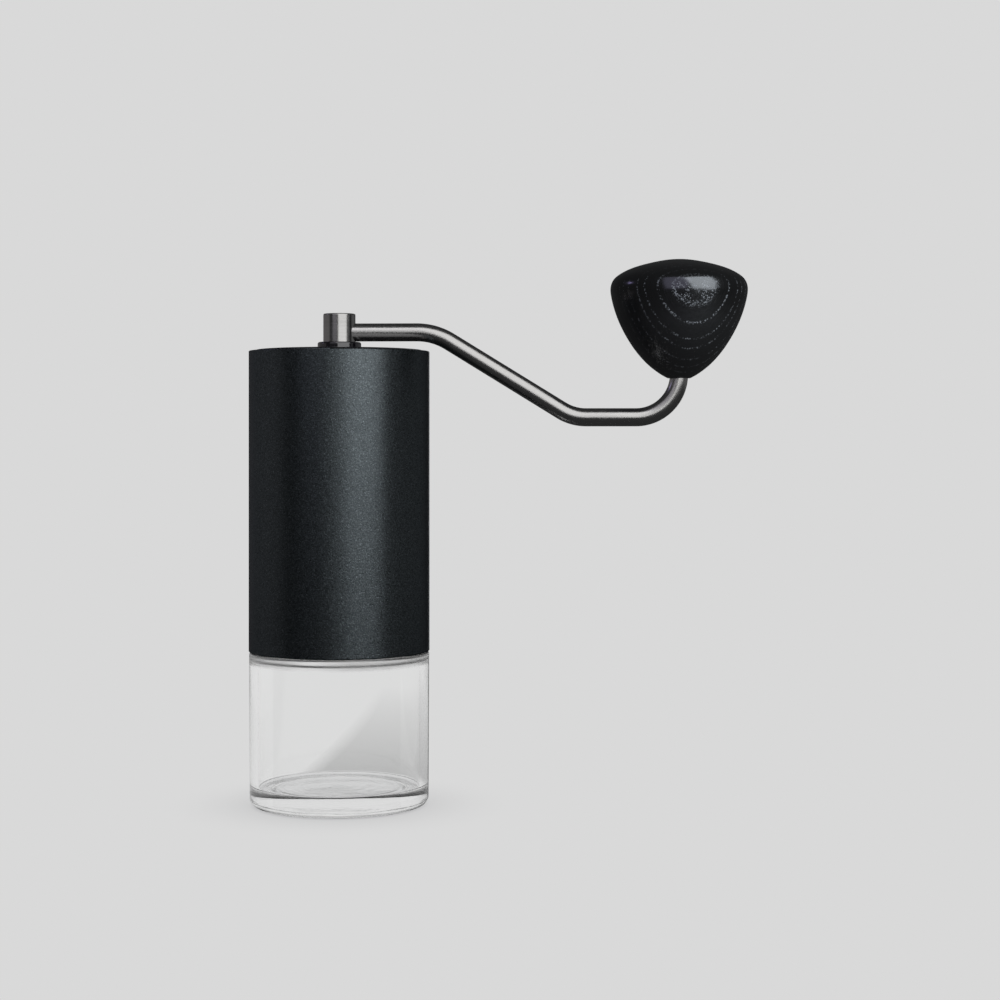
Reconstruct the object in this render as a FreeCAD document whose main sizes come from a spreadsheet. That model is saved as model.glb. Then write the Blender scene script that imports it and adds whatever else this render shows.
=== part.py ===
"""Hand crank coffee grinder: a straight metal barrel on a screw-on glass jar, with a lift-off crank.

Frame: +Z up, origin on the axis in the plane the jar stands on, crank arm along +X. Millimetres.
All driving sizes are cells of the spreadsheet "Sheet"; features are bound to them by expressions.
"""
import FreeCAD, Part, Sketcher
import math, os

V = FreeCAD.Vector
doc = FreeCAD.newDocument("hand_grinder")

# ---------------------------------------------------------------- driving dimensions
SIZES = [
    # barrel shell
    ("shell_ro", 31.75), ("shell_ri", 30.25), ("shell_z0", 54.0), ("shell_z1", 159.4), ("shell_edge", 0.35),
    # glass jar
    ("jar_r_top", 31.60), ("jar_r_bot", 31.35), ("jar_ri", 28.30), ("jar_floor_z", 7.1), ("jar_sh_z", 53.7),
    ("jar_neck_ro", 27.2), ("jar_neck_ri", 24.4), ("jar_neck_z1", 62.2), ("jar_foot_fillet", 2.8),
    ("jar_floor_fillet", 0.4), ("jar_punt_r", 24.0), ("jar_punt_d", 0.9), ("jar_contact_ro", 28.5),
    ("jar_in_sh_z", 51.2), ("jar_in_fillet", 0.3), ("jar_edge", 0.9), ("jar_rim", 0.7),
    # jar thread
    ("thr_pitch", 4.0), ("thr_z0", 56.0), ("thr_len", 4.4), ("thr_crest_r", 28.45), ("thr_clear", 0.3),
    ("thr_half_root", 0.95), ("thr_half_crest", 0.45),
    # gasket on the jar's shoulder
    ("gas_ri", 27.35), ("gas_ro", 29.6), ("gas_t", 0.76),
    # lower frame
    ("lf_z0", 54.6), ("lf_z1", 104.0), ("lf_skirt_ri", 27.65), ("lf_relief_r", 29.9), ("lf_seat_r", 26.55),
    ("lf_throat_r", 24.5), ("lf_wall_ri", 28.2), ("lf_ledge_z", 88.0), ("lf_ring_r", 27.5),
    # upper frame
    ("uf_z1", 158.3), ("uf_ri", 28.4),
    # spiders
    ("hub_ro", 10.5), ("hub_hole_r", 5.5), ("spoke_w", 5.0), ("spoke_h", 5.0), ("lsp_z", 98.0), ("usp_z", 138.0),
    ("lug_r", 2.6), ("lug_pos", 26.3), ("lug_h", 5.0),
    # ball bearings 8 x 16 x 5
    ("brg_ri", 4.0), ("brg_ro", 8.0), ("brg_w", 5.0), ("brg_in_ro", 5.1), ("brg_out_ri", 6.9), ("brg_pitch_r", 6.0),
    ("brg_ball_r", 1.10), ("brg_groove_r", 1.16), ("brg_lo_z", 97.0), ("brg_up_z", 140.0), ("shield_t", 0.25),
    # axle
    ("ax_r", 4.0), ("ax_z0", 62.4), ("ax_thread_r", 2.95), ("ax_d_z0", 70.2), ("ax_d_z1", 95.2), ("ax_flat", 3.3),
    ("ax_hex_z0", 153.2), ("ax_top_z", 161.4), ("hex_af", 6.9), ("clip_t", 0.8), ("clip_groove_r", 3.6), ("clip_ro", 5.7),
    # burrs
    ("ib_z0", 71.4), ("ib_z1", 93.4), ("ib_r", 21.4), ("ib_land_z", 75.9), ("ib_land_r", 20.5), ("ib_top_r", 8.2),
    ("ib_cb_r", 6.6), ("ib_cb_z", 85.4), ("ob_z0", 71.0), ("ob_ro", 26.5), ("ob_top_r", 17.2), ("ob_land_z", 75.2),
    ("ob_land_r", 21.15), ("ob_r", 22.0), ("key_r", 1.2), ("key_len", 9.0),
    # burr spring and its seat
    ("spr_r", 5.35), ("spr_wire", 0.55), ("spr_pitch", 1.9), ("spr_z0", 85.98), ("spr_z1", 94.60), ("seat_t", 0.9), ("seat_ro", 7.0),
    # click plate and dial
    ("cp_t", 1.5), ("cp_ro", 12.5), ("cp_n", 24), ("dial_z0", 63.4), ("dial_z1", 69.7), ("dial_r", 14.0), ("dial_in_r", 5.4),
    ("dial_bore_r", 3.0), ("click_r", 10.0), ("click_ball_r", 1.0), ("click_hole_r", 1.08),
    # lid
    ("lid_r", 29.7), ("lid_z0", 158.35), ("lid_z1", 159.9), ("lid_skirt_ro", 28.1), ("lid_skirt_ri", 26.4), ("lid_skirt_z", 154.9),
    ("lid_boss_r", 9.6), ("lid_boss_z", 156.7), ("collar_bore_r", 7.0), ("collar_ri", 5.75), ("collar_ro", 7.65), ("collar_z1", 162.6),
    ("seal_r", 0.55), ("seal_z", 156.5), ("seal_groove", 0.85),
    # crank hub and arm
    ("ch_r", 5.65), ("ch_z0", 153.7), ("ch_z1", 172.6), ("ch_socket_z", 161.6), ("ch_socket_af", 7.1), ("ch_clip_z", 155.5),
    ("ch_clip_ro", 7.3), ("ch_clip_groove_r", 5.0),
    ("arm_r", 3.175), ("arm_z1", 166.0), ("arm_x1", 33.6), ("arm_slope", 31.62), ("arm_z2", 136.1), ("arm_rb1", 22.0),
    ("arm_rb2", 16.5), ("arm_rb3", 15.0), ("arm_len", 119.3), ("arm_in", 3.7), ("arm_step_z", 153.0), ("spin_r", 2.5), ("spin_z1", 174.0),
    # knob and its bush
    ("knob_z0", 149.74), ("knob_bore_r", 3.5), ("knob_bore_z", 177.1), ("bush_z0", 153.4), ("bush_z1", 172.6), ("knob_neck_r", 3.95),
    ("bush_r", 2.56), ("kclip_z", 172.85), ("kclip_t", 0.6), ("kclip_ro", 3.3), ("kw_t", 0.3), ("kclip_groove_r", 2.1),
    # frame screws
    ("fs_head_r", 1.9), ("fs_head_h", 1.6), ("fs_r", 0.98), ("fs_len", 9.0),
]
# knob outline: radius and height over its lower end
KNOB = [(4.28, 0.16), (5.15, 0.62), (5.95, 1.08), (8.36, 2.72), (10.73, 4.66), (12.88, 6.84), (14.85, 9.19), (16.63, 11.69),
        (18.24, 14.29), (19.70, 16.98), (21.00, 19.77), (22.09, 22.62), (23.00, 25.55), (23.67, 28.52), (23.90, 31.58), (22.87, 34.40),
        (20.56, 36.38), (17.85, 37.82), (14.98, 38.90), (12.03, 39.75), (9.05, 40.46), (6.06, 41.05), (3.02, 41.44), (0.00, 41.57)]

sheet = doc.addObject("Spreadsheet::Sheet", "Sheet")
sheet.Label = "Sheet"
row = 1
for alias, value in SIZES + [("knob_r%02d" % i, p[0]) for i, p in enumerate(KNOB)] + [("knob_h%02d" % i, p[1]) for i, p in enumerate(KNOB)]:
    sheet.set("A%d" % row, alias)
    sheet.set("B%d" % row, str(value))
    sheet.setAlias("B%d" % row, alias)
    row += 1
doc.recompute()


class Q:
    """A size: its value now, and the expression that binds it to the sheet."""

    def __init__(self, v, e):
        self.v, self.e = float(v), e

    def _mix(self, o, sign, swap=False):
        o = o if isinstance(o, Q) else Q(o, repr(float(o)))
        a, b = (o, self) if swap else (self, o)
        v = {"+": a.v + b.v, "-": a.v - b.v, "*": a.v * b.v, "/": a.v / b.v if b.v else 0.0}[sign]
        return Q(v, "(%s %s %s)" % (a.e, sign, b.e))

    def __add__(self, o): return self._mix(o, "+")
    def __radd__(self, o): return self._mix(o, "+", True)
    def __sub__(self, o): return self._mix(o, "-")
    def __rsub__(self, o): return self._mix(o, "-", True)
    def __mul__(self, o): return self._mix(o, "*")
    def __rmul__(self, o): return self._mix(o, "*", True)
    def __truediv__(self, o): return self._mix(o, "/")


def S(alias):
    return Q(sheet.get(alias), "Sheet." + alias)


def num(q):
    return q.v if isinstance(q, Q) else float(q)


def bind(obj, prop, q):
    if isinstance(q, Q):
        obj.setExpression(prop, q.e)


counter = [0]


def uid(stem):
    counter[0] += 1
    return "%s_%03d" % (stem, counter[0])


# ---------------------------------------------------------------- Part Design helpers
def body(label):
    b = doc.addObject("PartDesign::Body", uid("Body"))
    b.Label = label
    return b


def plane(b, role):
    return [f for f in b.Origin.OriginFeatures if f.Role == role][0]


def sketch(b, role, z=None):
    sk = b.newObject("Sketcher::SketchObject", uid("Sketch"))
    sk.AttachmentSupport = (plane(b, role), [""])
    sk.MapMode = "FlatFace"
    if z is not None:
        sk.AttachmentOffset = FreeCAD.Placement(V(0, 0, num(z)), FreeCAD.Rotation())
        bind(sk, ".AttachmentOffset.Base.z", z)
    return sk


def pin_point(sk, g, pos, x, y, tag):
    """Fix a point of geometry g at (x, y) with constraints bound to the sheet."""
    for axis, q, other in (("DistanceX", x, -2), ("DistanceY", y, -1)):
        if abs(num(q)) < 1e-9:
            sk.addConstraint(Sketcher.Constraint("PointOnObject", g, pos, other))
        else:
            n = sk.addConstraint(Sketcher.Constraint(axis, -1, 1, g, pos, num(q)))
            name = "%s%s" % ("x" if axis == "DistanceX" else "y", tag)
            sk.renameConstraint(n, name)
            bind(sk, "Constraints." + name, q)


def polygon(sk, pts, tag="p"):
    """A closed outline of straight edges through pts, every corner bound."""
    n = len(pts)
    first = sk.GeometryCount
    sk.addGeometry([Part.LineSegment(V(num(pts[i][0]), num(pts[i][1]), 0), V(num(pts[(i + 1) % n][0]), num(pts[(i + 1) % n][1]), 0)) for i in range(n)], False)
    for i in range(n):
        sk.addConstraint(Sketcher.Constraint("Coincident", first + i, 2, first + (i + 1) % n, 1))
    for i in range(n):
        pin_point(sk, first + i, 1, pts[i][0], pts[i][1], "%s%d" % (tag, i))
    return sk


def circle(sk, x, y, r, tag="c"):
    g = sk.addGeometry(Part.Circle(V(num(x), num(y), 0), V(0, 0, 1), num(r)), False)
    pin_point(sk, g, 3, x, y, tag)
    n = sk.addConstraint(Sketcher.Constraint("Radius", g, num(r)))
    sk.renameConstraint(n, "r" + tag)
    bind(sk, "Constraints.r" + tag, r)
    return sk


def revolve(b, pts, sub=False):
    sk = polygon(sketch(b, "XZ_Plane"), pts)
    f = b.newObject("PartDesign::Groove" if sub else "PartDesign::Revolution", uid("Turned"))
    f.Profile = sk
    f.ReferenceAxis = (sk, ["V_Axis"])
    f.Angle = 360.0
    doc.recompute()
    return f


def pad(b, sk, h, sub=False, up=True):
    f = b.newObject("PartDesign::Pocket" if sub else "PartDesign::Pad", uid("Pocket" if sub else "Pad"))
    f.Profile = sk
    f.Type = 0
    f.Length = num(h)
    bind(f, "Length", h)
    # a pad goes along the sketch's normal and a pocket against it
    f.Reversed = (not up) if not sub else up
    doc.recompute()
    return f


def polar(b, feats, n):
    f = b.newObject("PartDesign::PolarPattern", uid("Polar"))
    f.Originals = feats
    f.Axis = ([x for x in b.Origin.OriginFeatures if x.Role == "Z_Axis"][0], [""])
    f.Angle = 360.0
    f.Occurrences = n
    b.Tip = f
    doc.recompute()
    return f


def rims(shape, wants, tol=0.02):
    """Names of the circular edges about Z at each (radius, height)."""
    out = []
    for i, e in enumerate(shape.Edges):
        c = e.Curve
        if c.__class__.__name__ != "Circle" or abs(abs(c.Axis.z) - 1) > 1e-6 or math.hypot(c.Center.x, c.Center.y) > 1e-6:
            continue
        if any(abs(c.Radius - num(r)) < tol and abs(c.Center.z - num(z)) < tol for r, z in wants):
            out.append("Edge%d" % (i + 1))
    return out


def fillet(b, wants, r, kind="Fillet"):
    doc.recompute()
    base = b.Tip
    names = rims(base.Shape, wants)
    if len(names) < len(wants):
        raise RuntimeError("%s: found %d of %d rims" % (b.Label, len(names), len(wants)))
    f = b.newObject("PartDesign::" + kind, uid(kind))
    f.Base = (base, names)
    prop = "Radius" if kind == "Fillet" else "Size"
    setattr(f, prop, num(r))
    bind(f, prop, r)
    doc.recompute()
    return f


# ---------------------------------------------------------------- Part helpers
def place(o, x=0, y=0, z=0, rot=None):
    o.Placement = FreeCAD.Placement(V(num(x), num(y), num(z)), rot or FreeCAD.Rotation())
    for axis, q in (("x", x), ("y", y), ("z", z)):
        bind(o, ".Placement.Base." + axis, q)
    return o


def cyl(r, h, z=0, x=0, y=0):
    o = doc.addObject("Part::Cylinder", uid("Cylinder"))
    o.Radius, o.Height = num(r), num(h)
    bind(o, "Radius", r), bind(o, "Height", h)
    return place(o, x, y, z)


def box(lx, ly, lz, x, y, z, rot=None):
    o = doc.addObject("Part::Box", uid("Box"))
    o.Length, o.Width, o.Height = num(lx), num(ly), num(lz)
    bind(o, "Length", lx), bind(o, "Width", ly), bind(o, "Height", lz)
    return place(o, x, y, z, rot)


def torus(R, r, z):
    o = doc.addObject("Part::Torus", uid("Torus"))
    o.Radius1, o.Radius2 = num(R), num(r)
    bind(o, "Radius1", R), bind(o, "Radius2", r)
    return place(o, 0, 0, z)


def ball(r, x, y, z):
    o = doc.addObject("Part::Sphere", uid("Sphere"))
    o.Radius = num(r)
    bind(o, "Radius", r)
    return place(o, x, y, z)


def cut(a, b, label=None):
    o = doc.addObject("Part::Cut", uid("Cut"))
    o.Base, o.Tool = a, b
    if label:
        o.Label = label
    return o


def fuse(parts, label=None):
    o = doc.addObject("Part::MultiFuse", uid("Fuse"))
    o.Shapes = parts
    if label:
        o.Label = label
    return o


def group(parts, label):
    o = doc.addObject("Part::Compound", uid("Group"))
    o.Links = parts
    o.Label = label
    return o


def ring(ri, ro, h, z, label=None):
    return cut(cyl(ro, h, z), cyl(ri, h + 2.0, z - 1.0), label)


def snap_ring(ri, ro, h, z, gap, label, x=0):
    """An open ring: a flat washer with a slot through one side."""
    a = cyl(ro, h, z, x)
    tool = fuse([cyl(ri, h + 2.0, z - 1.0, x), box(ro + 1.0, gap, h + 2.0, (x + 0.0) if not isinstance(x, Q) else x, gap / -2.0, z - 1.0)])
    return cut(a, tool, label)


NODES = []


def node(o):
    NODES.append(o)
    return o


def turned(a):
    return FreeCAD.Rotation(V(0, 0, 1), a)


SPOKES = (30.0, 150.0, 270.0)
LUGS = (90.0, 210.0, 330.0)

def helix(b, r0, r1, zc, half0, half1, length, sub):
    sk = polygon(sketch(b, "XZ_Plane"), [(r0, zc - half0), (r1, zc - half1), (r1, zc + half1), (r0, zc + half0)])
    f = b.newObject("PartDesign::SubtractiveHelix" if sub else "PartDesign::AdditiveHelix", uid("Helix"))
    f.Profile = sk
    f.ReferenceAxis = (sk, ["V_Axis"])
    f.Mode = 0
    f.Pitch = num(S("thr_pitch"))
    bind(f, "Pitch", S("thr_pitch"))
    f.Height = num(length)
    bind(f, "Height", length)
    f.LeftHanded = False
    doc.recompute()
    return f


def spoke(b, z, r0, r1):
    """One straight spoke, turned to the first spoke's angle and repeated three times."""
    sk = sketch(b, "XY_Plane", z)
    sk.AttachmentOffset = FreeCAD.Placement(V(0, 0, num(z)), turned(SPOKES[0]))
    bind(sk, ".AttachmentOffset.Base.z", z)
    w = S("spoke_w")
    polygon(sk, [(r0, w * -0.5), (r1, w * -0.5), (r1, w * 0.5), (r0, w * 0.5)])
    f = pad(b, sk, S("spoke_h"))
    return polar(b, [f], 3)


def lugs(b, z, h, hole_r, hole_z, hole_h):
    """Three screw lugs against the wall, between the spokes."""
    sk = sketch(b, "XY_Plane", z)
    circle(sk, 0, S("lug_pos"), S("lug_r"), "lug")
    f = pad(b, sk, h)
    polar(b, [f], 3)
    sk = sketch(b, "XY_Plane", hole_z)
    circle(sk, 0, S("lug_pos"), hole_r, "hole")
    f = pad(b, sk, hole_h, sub=True, up=True)
    before = f.BaseFeature.Shape.Volume
    assert f.Shape.Volume < before - 1.0, "screw hole cut nothing"
    polar(b, [f], 3)


# ---------------------------------------------------------------- outer_shell: turned aluminium tube
b = body("outer_shell")
sk = sketch(b, "XY_Plane", S("shell_z0"))
circle(sk, 0, 0, S("shell_ro"), "o")
circle(sk, 0, 0, S("shell_ri"), "i")
pad(b, sk, S("shell_z1") - S("shell_z0"))
fillet(b, [(S("shell_ro"), S("shell_z0")), (S("shell_ro"), S("shell_z1"))], S("shell_edge"))
fillet(b, [(S("shell_ri"), S("shell_z1")), (S("shell_ri"), S("shell_z0"))], S("shell_edge") * 0.7, "Chamfer")
node(b)

# ---------------------------------------------------------------- jar: pressed glass with a thick base and a moulded thread
b = body("jar")
revolve(b, [
    (0, S("jar_punt_d")), (S("jar_punt_r") - 1.5, S("jar_punt_d")), (S("jar_punt_r"), 0), (S("jar_contact_ro"), 0),
    (S("jar_r_bot"), 0.45), (S("jar_r_top"), S("jar_sh_z")), (S("jar_neck_ro"), S("jar_sh_z")), (S("jar_neck_ro"), S("jar_neck_z1")),
    (S("jar_neck_ri"), S("jar_neck_z1")), (S("jar_neck_ri"), S("jar_in_sh_z")), (S("jar_ri"), S("jar_in_sh_z")),
    (S("jar_ri"), S("jar_floor_z")), (0, S("jar_floor_z"))])
fillet(b, [(S("jar_r_bot"), 0.45)], S("jar_foot_fillet"))
fillet(b, [(S("jar_ri"), S("jar_floor_z"))], S("jar_floor_fillet"))
fillet(b, [(S("jar_neck_ri"), S("jar_in_sh_z")), (S("jar_ri"), S("jar_in_sh_z"))], S("jar_in_fillet"))
fillet(b, [(S("jar_r_top"), S("jar_sh_z"))], S("jar_edge"))
fillet(b, [(S("jar_neck_ro"), S("jar_neck_z1")), (S("jar_neck_ri"), S("jar_neck_z1"))], S("jar_rim"))


# root of the bead sits inside the neck wall
helix(b, S("jar_neck_ro") - 0.4, S("thr_crest_r"), S("thr_z0"), S("thr_half_root") + 0.15, S("thr_half_crest"), S("thr_len"), False)
node(b)

# ---------------------------------------------------------------- jar_gasket: silicone ring on the jar's shoulder
node(ring(S("gas_ri"), S("gas_ro"), S("gas_t"), S("jar_sh_z") + 0.02, "jar_gasket"))

# ---------------------------------------------------------------- lower_frame: moulded carrier with the jar thread, burr seat and lower spider
b = body("lower_frame")
revolve(b, [
    (S("lf_skirt_ri"), S("lf_z0")), (S("shell_ri"), S("lf_z0")), (S("shell_ri"), S("lf_z0") + 11.0), (S("lf_relief_r"), S("lf_z0") + 11.5),
    (S("lf_relief_r"), S("lf_z1") - 8.5), (S("shell_ri"), S("lf_z1") - 8.0), (S("shell_ri"), S("lf_z1")), (S("lf_wall_ri"), S("lf_z1")),
    (S("lf_wall_ri"), S("lsp_z")), (S("lf_throat_r"), S("lf_ledge_z") + 5.0), (S("lf_throat_r"), S("lf_ledge_z")), (S("lf_seat_r"), S("lf_ledge_z")),
    (S("lf_seat_r"), S("ob_z0") - 0.05), (S("lf_ring_r"), S("ob_z0") - 0.05), (S("lf_ring_r"), S("ob_z0") - 1.05),
    (S("lf_seat_r"), S("ob_z0") - 1.05), (S("lf_seat_r"), S("lf_z0") + 10.2), (S("lf_skirt_ri"), S("lf_z0") + 9.2)])
lugs(b, S("lf_z1") - 10.2, 10.2, S("fs_r") + 0.02, S("lf_z1") - 4.6, 5.0)
spoke(b, S("lsp_z"), S("hub_ro") - 1.3, S("lf_wall_ri") + 0.6)
z = S("brg_lo_z")
revolve(b, [(S("brg_ro"), z - 0.4), (S("hub_ro"), z - 0.4), (S("hub_ro"), z + S("brg_w") + 1.6), (S("hub_hole_r"), z + S("brg_w") + 1.6),
            (S("hub_hole_r"), z + S("brg_w")), (S("brg_ro"), z + S("brg_w"))])
# axial keyways for the outer burr's three keys
sk = sketch(b, "XY_Plane", S("lf_ledge_z") - S("key_len"))
circle(sk, 0, S("ob_ro"), S("key_r") + 0.05, "key")
f = pad(b, sk, S("key_len"), sub=True, up=True)
polar(b, [f], 3)
# the groove the jar's bead runs in: the same helix, one turn further down and a little longer
helix(b, S("lf_skirt_ri") - 0.8, S("thr_crest_r") + S("thr_clear"), S("thr_z0") - S("thr_pitch"), S("thr_half_root") + S("thr_clear") + 0.35,
      S("thr_half_crest") + S("thr_clear"), S("thr_pitch") + S("thr_len") + 0.5, True)
node(b)

# ---------------------------------------------------------------- upper_frame: moulded hopper sleeve with the upper spider
b = body("upper_frame")
revolve(b, [
    (S("uf_ri"), S("lf_z1")), (S("shell_ri"), S("lf_z1")), (S("shell_ri"), S("lf_z1") + 7.0), (S("lf_relief_r"), S("lf_z1") + 7.5),
    (S("lf_relief_r"), S("uf_z1") - 8.5), (S("shell_ri"), S("uf_z1") - 8.0), (S("shell_ri"), S("uf_z1")), (S("uf_ri"), S("uf_z1"))])
spoke(b, S("usp_z"), S("hub_ro") - 1.3, S("uf_ri") + 0.6)
z = S("brg_up_z")
revolve(b, [(S("hub_hole_r"), S("usp_z")), (S("hub_ro"), S("usp_z")), (S("hub_ro"), z + S("brg_w") + 0.4), (S("brg_ro"), z + S("brg_w") + 0.4),
            (S("brg_ro"), z), (S("hub_hole_r"), z)])
lugs(b, S("lf_z1"), S("lug_h"), S("fs_r") + 0.12, S("lf_z1") - 0.5, S("lug_h") + 1.0)
node(b)

# ---------------------------------------------------------------- frame_screws: three cap screws joining the two frames
screws = []
for a in LUGS:
    x, y = num(S("lug_pos")) * math.cos(math.radians(a)), num(S("lug_pos")) * math.sin(math.radians(a))
    zt = S("lf_z1") + S("lug_h")
    head = cut(cyl(S("fs_head_r"), S("fs_head_h"), zt, x, y), cyl(S("fs_head_r") * 0.5, 1.0, zt + S("fs_head_h") - 0.9, x, y))
    screws.append(fuse([head, cyl(S("fs_r"), S("fs_len") + 0.1, zt - S("fs_len"), x, y)]))
node(group(screws, "frame_screws"))


# ---------------------------------------------------------------- ball bearings
def bearing(name, z):
    mid = z + S("brg_w") / 2.0
    g = lambda: torus(S("brg_pitch_r"), S("brg_groove_r"), mid)
    node(cut(ring(S("brg_out_ri"), S("brg_ro"), S("brg_w"), z), g(), name + "_outer_race"))
    node(cut(ring(S("brg_ri"), S("brg_in_ro"), S("brg_w"), z), g(), name + "_inner_race"))
    balls = []
    for i in range(9):
        a = math.radians(40.0 * i + 10.0)
        balls.append(ball(S("brg_ball_r"), num(S("brg_pitch_r")) * math.cos(a), num(S("brg_pitch_r")) * math.sin(a), mid))
    node(group(balls, name + "_balls"))
    # one-piece crown cage: a thin ring over the balls, with a round pocket that each ball snaps into
    windows = []
    for i in range(9):
        a = math.radians(40.0 * i + 10.0)
        windows.append(ball(S("brg_ball_r") + 0.06, num(S("brg_pitch_r")) * math.cos(a), num(S("brg_pitch_r")) * math.sin(a), mid))
    node(cut(ring(S("brg_pitch_r") - 0.45, S("brg_pitch_r") + 0.45, Q(2.25, "2.25"), mid - 0.5), fuse(windows), name + "_cage"))
    gap = 0.12
    node(group([ring(S("brg_in_ro") + gap, S("brg_out_ri"), S("shield_t"), z + 0.1),
                ring(S("brg_in_ro") + gap, S("brg_out_ri"), S("shield_t"), z + S("brg_w") - S("shield_t") - 0.1)], name + "_shields"))


bearing("lower_bearing", S("brg_lo_z"))
bearing("upper_bearing", S("brg_up_z"))

# ---------------------------------------------------------------- axle: 8 mm bar with an adjusting thread, flats, two clip grooves and a hexagon
b = body("axle")
lo, up = S("brg_lo_z"), S("brg_up_z") + S("brg_w")
revolve(b, [
    (0, S("ax_z0")), (S("ax_thread_r") - 0.5, S("ax_z0")), (S("ax_thread_r"), S("ax_z0") + 0.5), (S("ax_thread_r"), S("ax_d_z0")),
    (S("ax_r"), S("ax_d_z0")), (S("ax_r"), lo - S("clip_t")), (S("clip_groove_r"), lo - S("clip_t")), (S("clip_groove_r"), lo),
    (S("ax_r"), lo), (S("ax_r"), up), (S("clip_groove_r"), up), (S("clip_groove_r"), up + S("clip_t")), (S("ax_r"), up + S("clip_t")),
    (S("ax_r"), S("ax_hex_z0")), (0, S("ax_hex_z0"))])
sk = sketch(b, "XY_Plane", S("ax_hex_z0"))
k = 1.0 / math.sqrt(3.0)
af = S("hex_af")
polygon(sk, [(af * k, 0), (af * (k / 2), af * 0.5), (af * (-k / 2), af * 0.5), (af * -k, 0), (af * (-k / 2), af * -0.5), (af * (k / 2), af * -0.5)])
pad(b, sk, S("ax_top_z") - S("ax_hex_z0"))
sk = sketch(b, "XY_Plane", S("ax_d_z0"))
w = S("ax_r") + 1.0
polygon(sk, [(w * -1.0, S("ax_flat")), (w, S("ax_flat")), (w, w), (w * -1.0, w)], "t")
polygon(sk, [(w * -1.0, w * -1.0), (w, w * -1.0), (w, S("ax_flat") * -1.0), (w * -1.0, S("ax_flat") * -1.0)], "u")
before = b.Tip.Shape.Volume
f = pad(b, sk, S("ax_d_z1") - S("ax_d_z0"), sub=True, up=True)
assert f.Shape.Volume < before - 20, "flats cut nothing"
node(b)
node(snap_ring(S("clip_groove_r"), S("clip_ro"), S("clip_t"), up, Q(1.6, "1.6"), "upper_circlip"))
node(snap_ring(S("clip_groove_r"), S("clip_ro"), S("clip_t"), lo - S("clip_t"), Q(1.6, "1.6"), "lower_circlip"))
node(ring(S("ax_r") + 0.05, S("seat_ro"), S("seat_t"), lo - S("clip_t") - S("seat_t"), "spring_seat"))

# ---------------------------------------------------------------- burr_spring: pushes the inner burr down onto the dial
b = body("burr_spring")
sk = sketch(b, "XZ_Plane")
circle(sk, S("spr_r"), S("spr_z0"), S("spr_wire"), "w")
f = b.newObject("PartDesign::AdditiveHelix", "SpringCoil")
f.Profile = sk
f.ReferenceAxis = (sk, ["V_Axis"])
f.Mode = 0
f.Pitch = num(S("spr_pitch"))
bind(f, "Pitch", S("spr_pitch"))
f.Height = num(S("spr_z1") - S("spr_z0"))
bind(f, "Height", S("spr_z1") - S("spr_z0"))
doc.recompute()
node(b)


# ---------------------------------------------------------------- burrs
def slots(n, w, d, length, r, z, lean, twist, offset=0.0):
    """n straight cutters round the axis. Each is a bar through (r, z), tipped outwards by lean and swept sideways by twist."""
    out = []
    for i in range(n):
        rot = turned(360.0 * i / n + offset).multiply(FreeCAD.Rotation(V(0, 1, 0), lean)).multiply(FreeCAD.Rotation(V(1, 0, 0), twist))
        o = doc.addObject("Part::Box", uid("Slot"))
        o.Length, o.Width, o.Height = d, w, length
        c = turned(360.0 * i / n + offset).multVec(V(r, 0, z))
        o.Placement = FreeCAD.Placement(c, rot).multiply(FreeCAD.Placement(V(-d / 2.0, -w / 2.0, -length / 2.0), FreeCAD.Rotation()))
        out.append(o)
    return out


b = body("inner_burr_blank")
revolve(b, [
    (0, S("ib_z0")), (S("ib_r") - 0.8, S("ib_z0")), (S("ib_r"), S("ib_z0") + 0.9), (S("ib_land_r"), S("ib_land_z")), (S("ib_top_r"), S("ib_z1")),
    (S("ib_cb_r"), S("ib_z1")), (S("ib_cb_r"), S("ib_cb_z")), (0, S("ib_cb_z"))])
dbore = doc.addObject("Part::Common", uid("DoubleD"))
dbore.Base = cyl(S("ax_r") + 0.06, S("ib_cb_z") - S("ib_z0") + 2.0, S("ib_z0") - 1.0)
fl = S("ax_flat") + 0.06
dbore.Tool = box(S("ax_r") * 2 + 2.0, fl * 2.0, S("ib_cb_z") - S("ib_z0") + 2.0, S("ax_r") * -1.0 - 1.0, fl * -1.0, S("ib_z0") - 1.0)
lean = -math.degrees(math.atan2(num(S("ib_land_r")) - num(S("ib_top_r")), num(S("ib_z1")) - num(S("ib_land_z"))))
mid_r, mid_z = (num(S("ib_land_r")) + num(S("ib_top_r"))) / 2, (num(S("ib_z1")) + num(S("ib_land_z"))) / 2
flutes = slots(6, 4.2, 4.4, 30.0, mid_r + 1.3, mid_z, lean, 24.0)
fine = slots(36, 0.9, 1.5, 9.0, num(S("ib_r")) + 0.15, num(S("ib_z0")) + 2.0, -11.0, 20.0, 4.0)
node(cut(b, fuse([dbore] + flutes + fine), "inner_burr"))

b = body("outer_burr_blank")
revolve(b, [(S("ob_r"), S("ob_z0")), (S("ob_ro"), S("ob_z0")), (S("ob_ro"), S("lf_ledge_z")), (S("ob_top_r"), S("lf_ledge_z")),
            (S("ob_land_r"), S("ob_land_z"))])
lean = -math.degrees(math.atan2(num(S("ob_land_r")) - num(S("ob_top_r")), num(S("lf_ledge_z")) - num(S("ob_land_z"))))
mid_r, mid_z = (num(S("ob_land_r")) + num(S("ob_top_r"))) / 2, (num(S("lf_ledge_z")) + num(S("ob_land_z"))) / 2
flutes = slots(8, 3.6, 3.4, 17.0, mid_r - 0.1, mid_z + 2.5, lean, -18.0)
fine = slots(36, 0.9, 1.5, 7.0, num(S("ob_r")) - 0.25, num(S("ob_z0")) + 2.0, -11.0, -18.0, 4.0)
keyways = [cyl(S("key_r") + 0.03, S("key_len") + 0.5, S("lf_ledge_z") - S("key_len"), num(S("ob_ro")) * math.cos(math.radians(a)), num(S("ob_ro")) * math.sin(math.radians(a))) for a in LUGS]
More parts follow.
